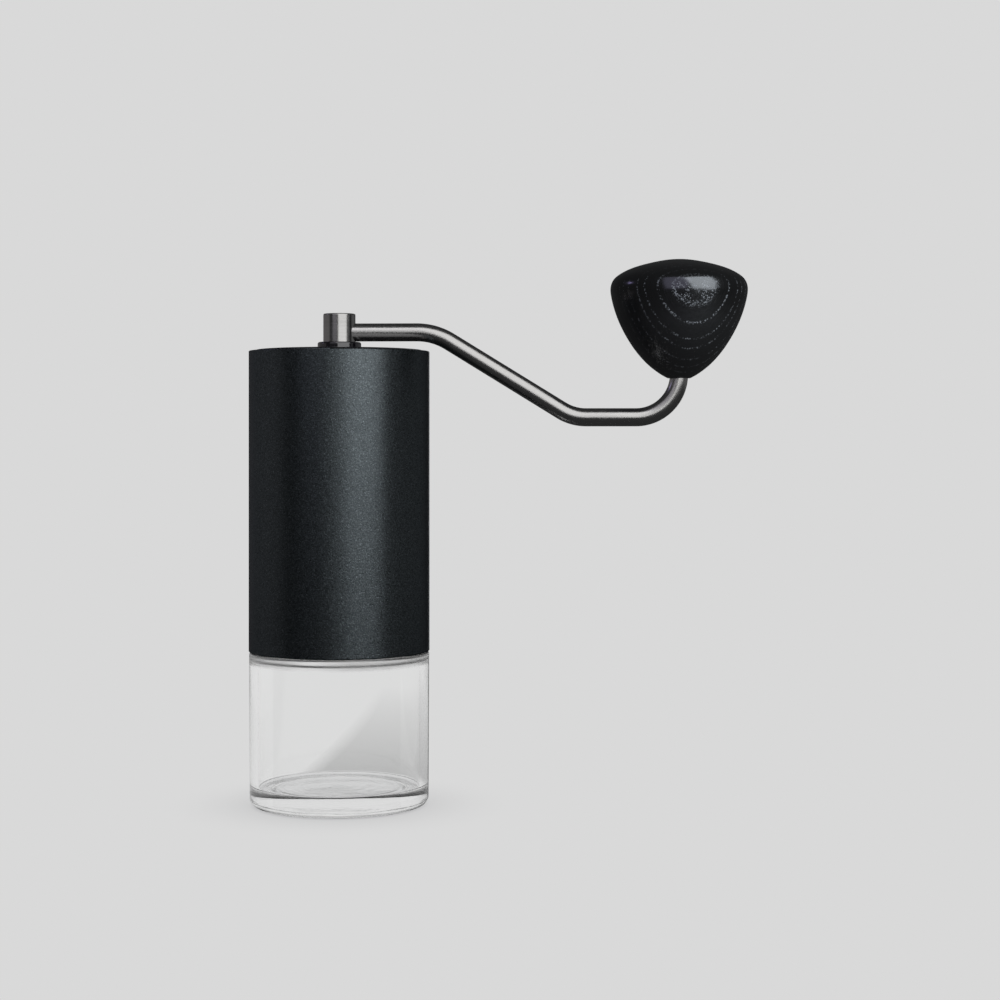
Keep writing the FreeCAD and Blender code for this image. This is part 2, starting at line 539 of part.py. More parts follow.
node(cut(b, fuse(flutes + fine + keyways), "outer_burr"))
node(group([cyl(S("key_r"), S("key_len") - 0.1, S("lf_ledge_z") - S("key_len") + 0.05, num(S("ob_ro")) * math.cos(math.radians(a)), num(S("ob_ro")) * math.sin(math.radians(a))) for a in LUGS], "burr_keys"))
node(snap_ring(Q(24.9, "24.9"), S("lf_ring_r") - 0.1, Q(0.9, "0.9"), S("ob_z0") - 0.95, Q(6.0, "6"), "burr_retaining_ring"))

# ---------------------------------------------------------------- click_plate: detent disc pressed to the inner burr's foot
blank = ring(S("ax_r") + 0.15, S("cp_ro"), S("cp_t"), S("ib_z0") - S("cp_t"))
detents = []
for i in range(int(num(S("cp_n")))):
    o = doc.addObject("Part::Cylinder", uid("Detent"))
    o.Radius, o.Height = 0.5, 3.4
    a = 360.0 * i / num(S("cp_n"))
    c = turned(a).multVec(V(num(S("click_r")) - 1.7, 0, num(S("ib_z0") - S("cp_t")) - 0.18))
    o.Placement = FreeCAD.Placement(c, turned(a).multiply(FreeCAD.Rotation(V(0, 1, 0), 90)))
    detents.append(o)
node(cut(blank, fuse(detents), "click_plate"))

# ---------------------------------------------------------------- adjustment_dial: knurled nut with a brass thread insert and two click balls
b = body("adjustment_dial")
revolve(b, [(S("dial_in_r"), S("dial_z0")), (S("dial_r") - 1.0, S("dial_z0")), (S("dial_r"), S("dial_z0") + 1.0), (S("dial_r"), S("dial_z1") - 0.6),
            (S("dial_r") - 0.6, S("dial_z1")), (S("dial_in_r"), S("dial_z1"))])
sk = sketch(b, "XY_Plane", S("dial_z0") - 0.5)
circle(sk, S("dial_r") + 0.75, 0, Q(1.3, "1.3"), "k")
f = pad(b, sk, S("dial_z1") - S("dial_z0") + 1.0, sub=True, up=True)
polar(b, [f], 24)
sk = sketch(b, "XY_Plane", S("dial_z0") + 1.5)
circle(sk, S("click_r"), 0, S("click_hole_r"), "h")
f = pad(b, sk, S("dial_z1") - S("dial_z0") + 1.0, sub=True, up=True)
polar(b, [f], 2)
node(b)
node(ring(S("dial_bore_r"), S("dial_in_r"), S("dial_z1") - S("dial_z0") - 0.1, S("dial_z0"), "dial_insert"))
zc = S("ib_z0") - S("cp_t") - S("click_ball_r") - 0.05
node(group([ball(S("click_ball_r"), S("click_r"), 0, zc), ball(S("click_ball_r"), S("click_r") * -1.0, 0, zc)], "click_balls"))
# two small compression springs under the balls, wound by the same helix and set either side of the axis
coils = []
bottom = num(S("dial_z0")) + 1.5
top = num(zc) - num(S("click_ball_r"))
for sx in (1, -1):
    h = doc.addObject("Part::Helix", uid("Helix"))
    h.Pitch, h.Height, h.Radius = 0.72, top - bottom - 0.36, 0.72
    h.SegmentLength = 1.0
    h.Placement = FreeCAD.Placement(V(sx * num(S("click_r")), 0, bottom + 0.17), FreeCAD.Rotation())
    c = doc.addObject("Part::Circle", uid("Wire"))
    c.Radius = 0.15
    c.Placement = FreeCAD.Placement(V(sx * num(S("click_r")) + 0.72, 0, bottom + 0.17), FreeCAD.Rotation(V(1, 0, 0), 90))
    s = doc.addObject("Part::Sweep", uid("Coil"))
    s.Sections, s.Spine, s.Solid, s.Frenet = [c], (h, []), True, True
    coils.append(s)
node(group(coils, "click_springs"))

# ---------------------------------------------------------------- lid, its collar bush and its seal
b = body("lid")
revolve(b, [
    (S("collar_bore_r"), S("lid_boss_z")), (S("lid_boss_r"), S("lid_boss_z")), (S("lid_boss_r"), S("lid_z0")), (S("lid_skirt_ri"), S("lid_z0")),
    (S("lid_skirt_ri"), S("lid_skirt_z")), (S("lid_skirt_ro") - 0.5, S("lid_skirt_z")), (S("lid_skirt_ro"), S("lid_skirt_z") + 0.7), (S("lid_skirt_ro"), S("lid_z0")),
    (S("lid_r"), S("lid_z0")), (S("lid_r"), S("lid_z1") - 0.15), (S("lid_r") - 2.0, S("lid_z1")), (S("collar_bore_r"), S("lid_z1"))])
revolve(b, [(S("lid_skirt_ro") - S("seal_groove"), S("seal_z") - 0.6), (S("lid_skirt_ro") + 0.5, S("seal_z") - 0.6), (S("lid_skirt_ro") + 0.5, S("seal_z") + 0.6),
            (S("lid_skirt_ro") - S("seal_groove"), S("seal_z") + 0.6)], sub=True)
fillet(b, [(S("lid_r"), S("lid_z1") - 0.15)], 0.9)
node(b)
b = body("lid_collar")
revolve(b, [(S("collar_ri"), S("lid_boss_z")), (S("collar_bore_r"), S("lid_boss_z")), (S("collar_bore_r"), S("lid_z1")), (S("collar_ro"), S("lid_z1")),
            (S("collar_ro"), S("collar_z1")), (S("collar_ri"), S("collar_z1"))])
fillet(b, [(S("collar_ro"), S("collar_z1"))], 0.7)
fillet(b, [(S("collar_ri"), S("collar_z1"))], 0.25, "Chamfer")
node(b)
o = torus(S("lid_skirt_ro") - S("seal_groove") + S("seal_r"), S("seal_r") - 0.01, S("seal_z"))
o.Radius2 = num(S("seal_r")) - 0.01
o.Label = "lid_seal"
node(o)

# ---------------------------------------------------------------- crank_hub: turned steel boss with a hexagon socket
b = body("crank_hub")
revolve(b, [(0, S("ch_z0")), (S("ch_r") - 0.3, S("ch_z0")), (S("ch_r"), S("ch_z0") + 0.3), (S("ch_r"), S("ch_clip_z")), (S("ch_clip_groove_r"), S("ch_clip_z")),
            (S("ch_clip_groove_r"), S("ch_clip_z") + S("clip_t")), (S("ch_r"), S("ch_clip_z") + S("clip_t")), (S("ch_r"), S("ch_z1")), (0, S("ch_z1"))])
fillet(b, [(S("ch_r"), S("ch_z1"))], 0.5)
sk = sketch(b, "XY_Plane", S("ch_z0") - 0.5)
af = S("ch_socket_af")
polygon(sk, [(af * k, 0), (af * (k / 2), af * 0.5), (af * (-k / 2), af * 0.5), (af * -k, 0), (af * (-k / 2), af * -0.5), (af * (k / 2), af * -0.5)])
before = b.Tip.Shape.Volume
f = pad(b, sk, S("ch_socket_z") - S("ch_z0") + 0.5, sub=True, up=True)
assert f.Shape.Volume < before - 50, "socket cut nothing"
sk = sketch(b, "YZ_Plane", S("arm_in") * -1.0)
circle(sk, 0, S("arm_z1"), S("arm_r"), "x")
before = b.Tip.Shape.Volume
f = pad(b, sk, 20.0, sub=True, up=True)
assert f.Shape.Volume < before - 50, "arm hole cut nothing"
node(b)
node(snap_ring(S("ch_clip_groove_r"), S("ch_clip_ro"), S("clip_t"), S("ch_clip_z"), Q(2.0, "2"), "hub_clip"))

# ---------------------------------------------------------------- crank_arm: 6.35 mm bar with three bends and a turned spindle
b = body("crank_arm")
sl = math.radians(num(S("arm_slope")))
z1, z2, x1, L = (num(S(n)) for n in ("arm_z1", "arm_z2", "arm_x1", "arm_len"))
r1, r2, r3 = (num(S(n)) for n in ("arm_rb1", "arm_rb2", "arm_rb3"))
x2 = x1 + (z1 - z2) / math.tan(sl)
t1, t2 = r1 * math.tan(sl / 2), r2 * math.tan(sl / 2)
d = V(math.cos(sl), -math.sin(sl), 0)
P = [V(-num(S("arm_in")), z1, 0), V(x1 - t1, z1, 0), V(x1, z1, 0) + d * t1, V(x2, z2, 0) - d * t2, V(x2 + t2, z2, 0), V(L - r3, z2, 0),
     V(L, z2 + r3, 0), V(L, num(S("arm_step_z")), 0)]
C1, C2, C3 = V(x1 - t1, z1 - r1, 0), V(x2 + t2, z2 + r2, 0), V(L - r3, z2 + r3, 0)


def arc(c, r, a, e):
    """The short arc from a to e as a counter-clockwise arc of the sketch."""
    a0, a1 = math.atan2(a.y - c.y, a.x - c.x), math.atan2(e.y - c.y, e.x - c.x)
    return Part.ArcOfCircle(Part.Circle(c, V(0, 0, 1), r), a0, a1)


path = sketch(b, "XZ_Plane")
path.addGeometry([
    Part.LineSegment(P[0], P[1]), arc(C1, r1, P[2], P[1]), Part.LineSegment(P[2], P[3]), arc(C2, r2, P[3], P[4]),
    Part.LineSegment(P[4], P[5]), arc(C3, r3, P[5], P[6]), Part.LineSegment(P[6], P[7])], False)
for c in (("Tangent", 0, 2, 1, 2), ("Tangent", 1, 1, 2, 1), ("Tangent", 2, 2, 3, 1), ("Tangent", 3, 2, 4, 1), ("Tangent", 4, 2, 5, 1), ("Tangent", 5, 2, 6, 1)):
    path.addConstraint(Sketcher.Constraint(*c))
for c in (("Horizontal", 0), ("Horizontal", 4), ("Vertical", 6)):
    path.addConstraint(Sketcher.Constraint(*c))
for i, (kind, args, q) in enumerate((
        ("DistanceX", (-1, 1, 0, 1), S("arm_in") * -1.0), ("DistanceY", (-1, 1, 0, 1), S("arm_z1")), ("Radius", (1,), S("arm_rb1")),
        ("Radius", (3,), S("arm_rb2")), ("Radius", (5,), S("arm_rb3")), ("DistanceY", (-1, 1, 4, 1), S("arm_z2")),
        ("DistanceX", (-1, 1, 6, 2), S("arm_len")), ("DistanceY", (-1, 1, 6, 2), S("arm_step_z")),
        ("DistanceX", (-1, 1, 0, 2), Q(x1 - t1, "(Sheet.arm_x1 - Sheet.arm_rb1 * tan(Sheet.arm_slope / 2 * 1 deg))")),
        ("DistanceX", (-1, 1, 4, 1), Q(x2 + t2, "(Sheet.arm_x1 + (Sheet.arm_z1 - Sheet.arm_z2) / tan(Sheet.arm_slope * 1 deg) + Sheet.arm_rb2 * tan(Sheet.arm_slope / 2 * 1 deg))")))):
    n = path.addConstraint(Sketcher.Constraint(kind, *args, num(q)))
    path.renameConstraint(n, "d%d" % i)
    bind(path, "Constraints.d%d" % i, q)
sk = sketch(b, "YZ_Plane", S("arm_in") * -1.0)
circle(sk, 0, S("arm_z1"), S("arm_r"), "s")
doc.recompute()
f = b.newObject("PartDesign::AdditivePipe", "ArmPipe")
f.Profile = sk
f.Spine = (path, [])
doc.recompute()
sk = sketch(b, "XY_Plane", S("arm_step_z"))
circle(sk, S("arm_len"), 0, S("spin_r"), "s")
pad(b, sk, S("spin_z1") - S("arm_step_z"))
# the groove for the knob's clip: a ring cut round the spindle
sk = sketch(b, "XY_Plane", S("kclip_z"))
circle(sk, S("arm_len"), 0, S("spin_r") + 1.0, "a")
circle(sk, S("arm_len"), 0, S("kclip_groove_r"), "b")
before = b.Tip.Shape.Volume
f = pad(b, sk, S("kclip_t"), sub=True, up=True)
assert f.Shape.Volume < before - 2, "clip groove cut nothing"
node(b)
node(snap_ring(S("kclip_groove_r"), S("kclip_ro"), S("kclip_t"), S("kclip_z"), Q(1.2, "1.2"), "knob_clip", S("arm_len")))
kw = cut(cyl(S("arm_r") + 0.1, S("kw_t"), S("arm_step_z") + 0.02, S("arm_len")), cyl(S("spin_r") + 0.06, 3.0, S("arm_step_z") - 1.0, S("arm_len")), "knob_washer")
node(kw)

# ---------------------------------------------------------------- knob: turned laminated wood on a blind bush
b = body("knob")
sk = sketch(b, "XZ_Plane")
pts = [V(num(S("knob_r%02d" % i)), num(S("knob_h%02d" % i)), 0) for i in range(len(KNOB))]
curve = Part.BSplineCurve()
curve.interpolate(Points=pts)
neck = V(num(S("knob_neck_r")), 0, 0)
sk.addGeometry([curve, Part.LineSegment(pts[-1], V(0, 0, 0)), Part.LineSegment(V(0, 0, 0), neck), Part.LineSegment(neck, pts[0])], False)
for i in range(4):
    sk.addConstraint(Sketcher.Constraint("Coincident", i, 2, (i + 1) % 4, 1))
doc.recompute()
f = b.newObject("PartDesign::Revolution", "KnobTurned")
f.Profile = sk
f.ReferenceAxis = (sk, ["V_Axis"])
f.Angle = 360.0
doc.recompute()
sk = sketch(b, "XY_Plane", -1.0)
circle(sk, 0, 0, S("knob_bore_r"), "bore")
before = b.Tip.Shape.Volume
f = pad(b, sk, S("knob_bore_z") - S("knob_z0") + 1.0, sub=True, up=True)
assert f.Shape.Volume < before - 100, "bore cut nothing"
place(b, S("arm_len"), 0, S("knob_z0"))
node(b)
b = body("knob_bush")
revolve(b, [(S("bush_r"), 0), (S("knob_bore_r"), 0), (S("knob_bore_r"), S("bush_z1") - S("bush_z0")), (S("bush_r"), S("bush_z1") - S("bush_z0"))])
place(b, S("arm_len"), 0, S("bush_z0"))
node(b)

# ---------------------------------------------------------------- check and write
doc.recompute()
bad = [o.Label for o in doc.Objects if "Invalid" in o.State or "Error" in o.State]
for o in NODES:
    s = o.Shape
    if s.isNull() or not s.isValid() or not s.Solids or s.Volume <= 0:
        bad.append(o.Label)
if bad:
    raise RuntimeError("failed objects: %s" % sorted(set(bad)))
os.makedirs("parts", exist_ok=True)
for old in os.listdir("parts"):
    if old.endswith(".step"):
        os.remove(os.path.join("parts", old))
for o in NODES:
    s = o.Shape
    bb = s.BoundBox
    print("%-26s solids %d  vol %9.1f  z %.2f..%.2f  x %.2f..%.2f" % (o.Label, len(s.Solids), s.Volume, bb.ZMin, bb.ZMax, bb.XMin, bb.XMax))
    s.exportStep(os.path.join("parts", o.Label + ".step"))
print(len(NODES), "nodes")
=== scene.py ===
import math

import bpy
import numpy as np
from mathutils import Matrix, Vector


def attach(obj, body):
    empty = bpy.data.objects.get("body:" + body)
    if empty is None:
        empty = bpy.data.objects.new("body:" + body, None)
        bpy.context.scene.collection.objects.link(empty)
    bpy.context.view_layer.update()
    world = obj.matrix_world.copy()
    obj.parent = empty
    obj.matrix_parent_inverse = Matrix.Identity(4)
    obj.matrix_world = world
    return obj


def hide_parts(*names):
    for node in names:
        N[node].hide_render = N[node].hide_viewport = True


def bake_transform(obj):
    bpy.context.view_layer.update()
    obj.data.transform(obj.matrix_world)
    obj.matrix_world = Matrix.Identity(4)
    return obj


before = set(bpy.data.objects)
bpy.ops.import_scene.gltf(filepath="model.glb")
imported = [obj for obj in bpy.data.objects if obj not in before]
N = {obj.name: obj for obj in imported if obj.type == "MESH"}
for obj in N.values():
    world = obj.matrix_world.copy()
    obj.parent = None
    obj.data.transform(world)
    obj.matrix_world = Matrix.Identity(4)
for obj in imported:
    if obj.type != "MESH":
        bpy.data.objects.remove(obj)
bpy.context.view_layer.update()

scene = bpy.context.scene
MM = 0.001


# ------------------------------------------------------------------ small tools
def link_object(name, mesh):
    ob = bpy.data.objects.new(name, mesh)
    scene.collection.objects.link(ob)
    return ob


def make_mesh(name, verts, faces, sharp=32.0):
    me = bpy.data.meshes.new(name)
    me.from_pydata([tuple(v) for v in verts], [], faces)
    me.validate()
    me.update()
    me.polygons.foreach_set("use_smooth", [True] * len(me.polygons))
    me.set_sharp_from_angle(angle=math.radians(sharp))
    return link_object(name, me)


def arc_corner(p0, p1, p2, r, n):
    """Points of the arc of radius r that rounds corner p1 between p0 and p2."""
    a = np.array(p0, float) - np.array(p1, float)
    b = np.array(p2, float) - np.array(p1, float)
    a /= np.linalg.norm(a)
    b /= np.linalg.norm(b)
    half = math.acos(max(-1.0, min(1.0, float(a @ b)))) / 2
    t = r / math.tan(half)
    c = np.array(p1, float) + (a + b) / np.linalg.norm(a + b) * (r / math.sin(half))
    s = np.array(p1, float) + a * t - c
    e = np.array(p1, float) + b * t - c
    a0, a1 = math.atan2(s[1], s[0]), math.atan2(e[1], e[0])
    d = (a1 - a0 + math.pi) % (2 * math.pi) - math.pi
    return [(c[0] + r * math.cos(a0 + d * i / n), c[1] + r * math.sin(a0 + d * i / n)) for i in range(n + 1)]


def rounded(points, closed=True):
    """points are (r, z, radius, steps); radius 0 keeps the corner."""
    out = []
    n = len(points)
    for i, (x, z, r, k) in enumerate(points):
        if r <= 0 or (not closed and i in (0, n - 1)):
            out.append((x, z))
        else:
            out += arc_corner(points[i - 1][:2], (x, z), points[(i + 1) % n][:2], r, k)
    return out


def lathe(name, prof, seg=192, centre=(0.0, 0.0), closed=True, radial=None, sharp=32.0):
    """A turned solid from (r, z) in millimetres. Points on the axis become one vertex each."""
    verts, rings = [], []
    held = []
    for i, p in enumerate(prof):
        held.append(p)
        if i + 1 < len(prof):
            q = prof[i + 1]
            length = math.hypot(q[0] - p[0], q[1] - p[1])
            if length > 1.2:
                for f in (0.06 / length, 0.25 / length, 1 - 0.25 / length, 1 - 0.06 / length):
                    held.append((p[0] + (q[0] - p[0]) * f, p[1] + (q[1] - p[1]) * f))
    prof = held
    for r, z in prof:
        if r < 1e-6:
            rings.append([len(verts)])
            verts.append((centre[0], centre[1], z * MM))
        else:
            ring = []
            for j in range(seg):
                a = 2 * math.pi * j / seg
                rr = r + (radial(r, z, a) if radial else 0.0)
                ring.append(len(verts))
                verts.append((centre[0] + rr * MM * math.cos(a), centre[1] + rr * MM * math.sin(a), z * MM))
            rings.append(ring)
    faces = []
    pairs = len(rings) if closed else len(rings) - 1
    for i in range(pairs):
        a, b = rings[i], rings[(i + 1) % len(rings)]
        if len(a) == 1 and len(b) == 1:
            continue
        for j in range(seg):
            k = (j + 1) % seg
            if len(a) == 1:
                faces.append((a[0], b[k], b[j]))
            elif len(b) == 1:
                faces.append((a[j], a[k], b[0]))
            else:
                faces.append((a[j], a[k], b[k], b[j]))
    ob = make_mesh(name, verts, faces, sharp)
    fix_normals(ob)
    return ob


def fix_normals(ob):
    import bmesh
    bm = bmesh.new()
    bm.from_mesh(ob.data)
    bmesh.ops.recalc_face_normals(bm, faces=bm.faces)
    if bm.calc_volume(signed=True) < 0:
        bmesh.ops.reverse_faces(bm, faces=bm.faces)
    bm.to_mesh(ob.data)
    bm.free()


def assign(ob, material):
    ob.data.materials.clear()
    ob.data.materials.append(material)


# ------------------------------------------------------------------ node graphs
class Mat:
    """A procedural material round one Principled shader."""

    def __init__(self, name, metallic=0.0, ior=1.5, **sockets):
        self.m = bpy.data.materials.new(name)
        self.m.use_nodes = True
        self.t = self.m.node_tree
        self.t.nodes.clear()
        self.out = self.t.nodes.new("ShaderNodeOutputMaterial")
        self.p = self.t.nodes.new("ShaderNodeBsdfPrincipled")
        self.t.links.new(self.p.outputs["BSDF"], self.out.inputs["Surface"])
        self.p.inputs["Metallic"].default_value = metallic
        self.p.inputs["IOR"].default_value = ior
        for k, v in sockets.items():
            self.p.inputs[k.replace("_", " ")].default_value = v
        self.tc = None

    def new(self, kind, inputs=None, **props):
        n = self.t.nodes.new(kind)
        for k, v in props.items():
            setattr(n, k, v)
        for k, v in (inputs or {}).items():
            s = n.inputs[k]
            if hasattr(v, "is_output") or isinstance(v, bpy.types.NodeSocket):
                self.t.links.new(v, s)
            else:
                s.default_value = v
        return n

    def coords(self):
        if self.tc is None:
            self.tc = self.t.nodes.new("ShaderNodeTexCoord")
        return self.tc.outputs["Object"]

    def scaled(self, x, y, z, offset=(0, 0, 0), rot=(0, 0, 0)):
        return self.new("ShaderNodeMapping", {"Vector": self.coords(), "Scale": (x, y, z), "Location": offset, "Rotation": rot}).outputs["Vector"]

    def split(self, vector=None):
        n = self.new("ShaderNodeSeparateXYZ", {"Vector": vector or self.coords()})
        return n.outputs["X"], n.outputs["Y"], n.outputs["Z"]

    def math(self, op, a, b=0.0, c=0.0, clamp=False):
        n = self.new("ShaderNodeMath", operation=op, use_clamp=clamp)
        for i, v in enumerate((a, b, c)):
            if isinstance(v, bpy.types.NodeSocket):
                self.t.links.new(v, n.inputs[i])
            else:
                n.inputs[i].default_value = v
        return n.outputs[0]

    def noise(self, vector, scale, detail=2.0, rough=0.5, distortion=0.0):
        return self.new("ShaderNodeTexNoise", {"Vector": vector, "Scale": scale, "Detail": detail, "Roughness": rough, "Distortion": distortion}).outputs["Fac"]

    def cells(self, vector, scale, feature="F1", rand=1.0):
        return self.new("ShaderNodeTexVoronoi", {"Vector": vector, "Scale": scale, "Randomness": rand}, feature=feature).outputs[0]

    def remap(self, v, a, b, c, d):
        return self.new("ShaderNodeMapRange", {"Value": v, "From Min": a, "From Max": b, "To Min": c, "To Max": d}).outputs[0]

    def ramp(self, v, stops):
        n = self.new("ShaderNodeValToRGB", {"Fac": v})
        el = n.color_ramp.elements
        while len(el) > 1:
            el.remove(el[-1])
        el[0].position, el[0].color = stops[0][0], (*stops[0][1], 1)
        for pos, col in stops[1:]:
            e = el.new(pos)
            e.color = (*col, 1)
        return n.outputs["Color"]

    def blend(self, fac, a, b):
        n = self.new("ShaderNodeMix", data_type="RGBA")
        for key, v in (("Factor", fac), ("A", a), ("B", b)):
            s = [i for i in n.inputs if i.name == key and i.enabled][0]
            if isinstance(v, bpy.types.NodeSocket):
                self.t.links.new(v, s)
            else:
                s.default_value = v if key == "Factor" else (*v, 1)
        return [o for o in n.outputs if o.enabled][0]

    def bump(self, height, strength, distance, normal=None):
        ins = {"Height": height, "Strength": strength, "Distance": distance}
        if normal is not None:
            ins["Normal"] = normal
        return self.new("ShaderNodeBump", ins).outputs["Normal"]

    def set(self, socket, v):
        if isinstance(v, bpy.types.NodeSocket):
            self.t.links.new(v, self.p.inputs[socket])
        else:
            self.p.inputs[socket].default_value = v

    def radius(self, cx=0.0, cy=0.0):
        """Distance from a vertical axis."""
        x, y, z = self.split()
        dx = self.math("SUBTRACT", x, cx)
        dy = self.math("SUBTRACT", y, cy)
        return self.math("SQRT", self.math("ADD", self.math("MULTIPLY", dx, dx), self.math("MULTIPLY", dy, dy))), z, dx, dy


def rgb(r, g, b):
    """sRGB 0-255 to linear."""
    f = lambda c: c / 255 / 12.92 if c / 255 <= 0.04045 else ((c / 255 + 0.055) / 1.055) ** 2.4
    return (f(r), f(g), f(b))


# ------------------------------------------------------------------ materials
def anodised():
    """Bead-blasted and dyed aluminium: fine dimples and a slight cloud in the dye."""
    m = Mat("anodised_black", metallic=1.0)
    m.p.inputs["Specular Tint"].default_value = (0.55, 0.56, 0.58, 1)
    fine = m.noise(m.coords(), 2500.0, 3.0, 0.62)
    mid = m.noise(m.coords(), 1250.0, 2.0, 0.5)
    cloud = m.noise(m.coords(), 35.0, 3.0, 0.5)
    base = m.blend(m.remap(cloud, 0.3, 0.7, 0.0, 1.0), (0.106, 0.124, 0.133), (0.118, 0.137, 0.146))
    pits = m.remap(m.math("ADD", m.math("MULTIPLY", fine, 0.7), m.math("MULTIPLY", mid, 0.3)), 0.34, 0.66, 0.0, 1.0)
    spark = m.remap(m.noise(m.scaled(1.0, 1.0, 1.0, (0.4, 0.2, 0.7)), 2600.0, 2.0, 0.6), 0.54, 0.72, 0.0, 1.0)
    tone = m.blend(pits, m.blend(0.30, (0.030, 0.035, 0.037), base), m.blend(0.80, (0.26, 0.295, 0.31), base))
    m.set("Base Color", m.blend(spark, tone, (0.27, 0.31, 0.33)))
    m.set("Roughness", m.remap(pits, 0.0, 1.0, 0.26, 0.35))
    h = m.math("ADD", m.math("MULTIPLY", fine, 0.7), m.math("MULTIPLY", mid, 0.5))
    m.set("Normal", m.bump(h, 0.50, 0.00012))
    return m.m


def turned(name, base, metallic, rough, cx=0.0, cy=0.0, pitch=9000.0, depth=0.00002, spread=0.10, dark=0.80, **sockets):
    """Lathe-turned metal: fine rings round the axis on faces and walls alike."""
    m = Mat(name, metallic=metallic, **sockets)
    r, z, dx, dy = m.radius(cx, cy)
    v = m.new("ShaderNodeCombineXYZ", {"X": m.math("MULTIPLY", r, 1.0), "Y": 0.0, "Z": z}).outputs[0]
    rings = m.noise(v, pitch, 2.0, 0.6)
    broad = m.noise(v, pitch * 0.12, 2.0, 0.5)
    spots = m.noise(m.coords(), 260.0, 3.0, 0.55)
    lines = m.math("ADD", m.math("MULTIPLY", rings, 0.7), m.math("MULTIPLY", broad, 0.3))
    m.set("Base Color", m.blend(m.remap(lines, 0.3, 0.7, 0.0, 1.0), tuple(c * dark for c in base), base))
    m.set("Roughness", m.remap(m.math("ADD", m.math("MULTIPLY", lines, 0.6), m.math("MULTIPLY", spots, 0.4)), 0.3, 0.7, rough - spread / 2, rough + spread / 2))
    m.set("Normal", m.bump(lines, 0.30, depth))
    return m.m


def brushed_rod():
    """Bent bar, linished along its length. UV runs along the bar (u, metres) and round it (v, turns)."""
    m = Mat("brushed_bar", metallic=1.0, Anisotropic=0.35)
    uv = m.new("ShaderNodeUVMap", uv_map="along").outputs["UV"]
    u, v, _ = m.split(uv)
    # the wrap point of v is hidden by feeding the noise a circle
    ang = m.math("MULTIPLY", v, 2 * math.pi)
    c, s = m.math("COSINE", ang), m.math("SINE", ang)
    vec = m.new("ShaderNodeCombineXYZ", {"X": m.math("MULTIPLY", u, 25.0), "Y": m.math("MULTIPLY", c, 1.0), "Z": m.math("MULTIPLY", s, 1.0)}).outputs[0]
    streak = m.noise(vec, 26.0, 4.0, 0.65)
    coarse = m.noise(vec, 7.0, 2.0, 0.5)
    patch = m.noise(m.coords(), 90.0, 3.0, 0.5)
    lines = m.math("ADD", m.math("MULTIPLY", streak, 0.75), m.math("MULTIPLY", coarse, 0.25))
    m.set("Base Color", m.blend(m.remap(lines, 0.3, 0.7, 0.0, 1.0), (0.50, 0.49, 0.475), (0.64, 0.63, 0.615)))
    m.set("Roughness", m.remap(m.math("ADD", m.math("MULTIPLY", lines, 0.7), m.math("MULTIPLY", patch, 0.3)), 0.3, 0.7, 0.20, 0.33))
    m.set("Normal", m.bump(lines, 0.22, 0.00003))
    return m.m


def steel(name, base=(0.55, 0.55, 0.56), rough=0.28, along="z", streaks=900.0, **sockets):
    """Drawn or ground steel with faint streaks and handling marks."""
    m = Mat(name, metallic=1.0, **sockets)
    k = {"z": (1.0, 1.0, 0.04), "x": (0.04, 1.0, 1.0), "flat": (1.0, 0.06, 1.0)}[along]
    streak = m.noise(m.scaled(*k), streaks, 3.0, 0.6)
    spots = m.noise(m.coords(), 420.0, 4.0, 0.6)
    mix = m.math("ADD", m.math("MULTIPLY", streak, 0.6), m.math("MULTIPLY", spots, 0.4))
    m.set("Base Color", m.blend(m.remap(mix, 0.3, 0.7, 0.0, 1.0), tuple(c * 0.78 for c in base), base))
    m.set("Roughness", m.remap(mix, 0.3, 0.7, rough - 0.07, rough + 0.09))
    m.set("Normal", m.bump(mix, 0.25, 0.00003))
    return m.m


def burr_steel():
    """Hardened steel, ground on its edges, with dark recesses that hold a little coffee dust."""
    m = Mat("burr_steel", metallic=1.0)
    grind = m.noise(m.scaled(1.0, 1.0, 0.12), 1500.0, 3.0, 0.6)
    spots = m.noise(m.coords(), 320.0, 4.0, 0.6)
    dust = m.noise(m.coords(), 1400.0, 3.0, 0.7)
    geo = m.new("ShaderNodeNewGeometry")
    edge = m.remap(geo.outputs["Pointiness"], 0.47, 0.56, 0.0, 1.0)
    body = m.blend(m.remap(grind, 0.3, 0.7, 0.0, 1.0), (0.36, 0.36, 0.37), (0.52, 0.52, 0.53))
    worn = m.blend(edge, m.blend(m.remap(dust, 0.42, 0.60, 0.0, 0.75), body, (0.12, 0.085, 0.06)), (0.66, 0.66, 0.67))
    m.set("Base Color", worn)
    m.set("Roughness", m.remap(m.math("ADD", m.math("MULTIPLY", spots, 0.5), m.math("MULTIPLY", grind, 0.5)), 0.3, 0.7, 0.24, 0.42))
    m.set("Normal", m.bump(m.math("ADD", grind, m.math("MULTIPLY", dust, 0.4)), 0.25, 0.00004))
    return m.m


def moulded(name, base, rough=0.5, grain=1500.0, depth=0.00005, coat=0.0, **sockets):
    """Injection moulded plastic: a fine spark-eroded texture and slow flow marks."""
    m = Mat(name, **sockets)
    tex = m.noise(m.coords(), grain, 3.0, 0.6)
    flow = m.noise(m.coords(), 45.0, 2.0, 0.5, 0.6)
    mix = m.math("ADD", m.math("MULTIPLY", tex, 0.6), m.math("MULTIPLY", flow, 0.4))
    m.set("Base Color", m.blend(m.remap(mix, 0.3, 0.7, 0.0, 1.0), tuple(c * 0.8 for c in base), tuple(min(1.0, c * 1.25) for c in base)))
    m.set("Roughness", m.remap(mix, 0.3, 0.7, max(0.03, rough - 0.08), rough + 0.08))
    m.set("Normal", m.bump(tex, 0.22, depth))
    if coat:
        m.p.inputs["Coat Weight"].default_value = coat
    return m.m


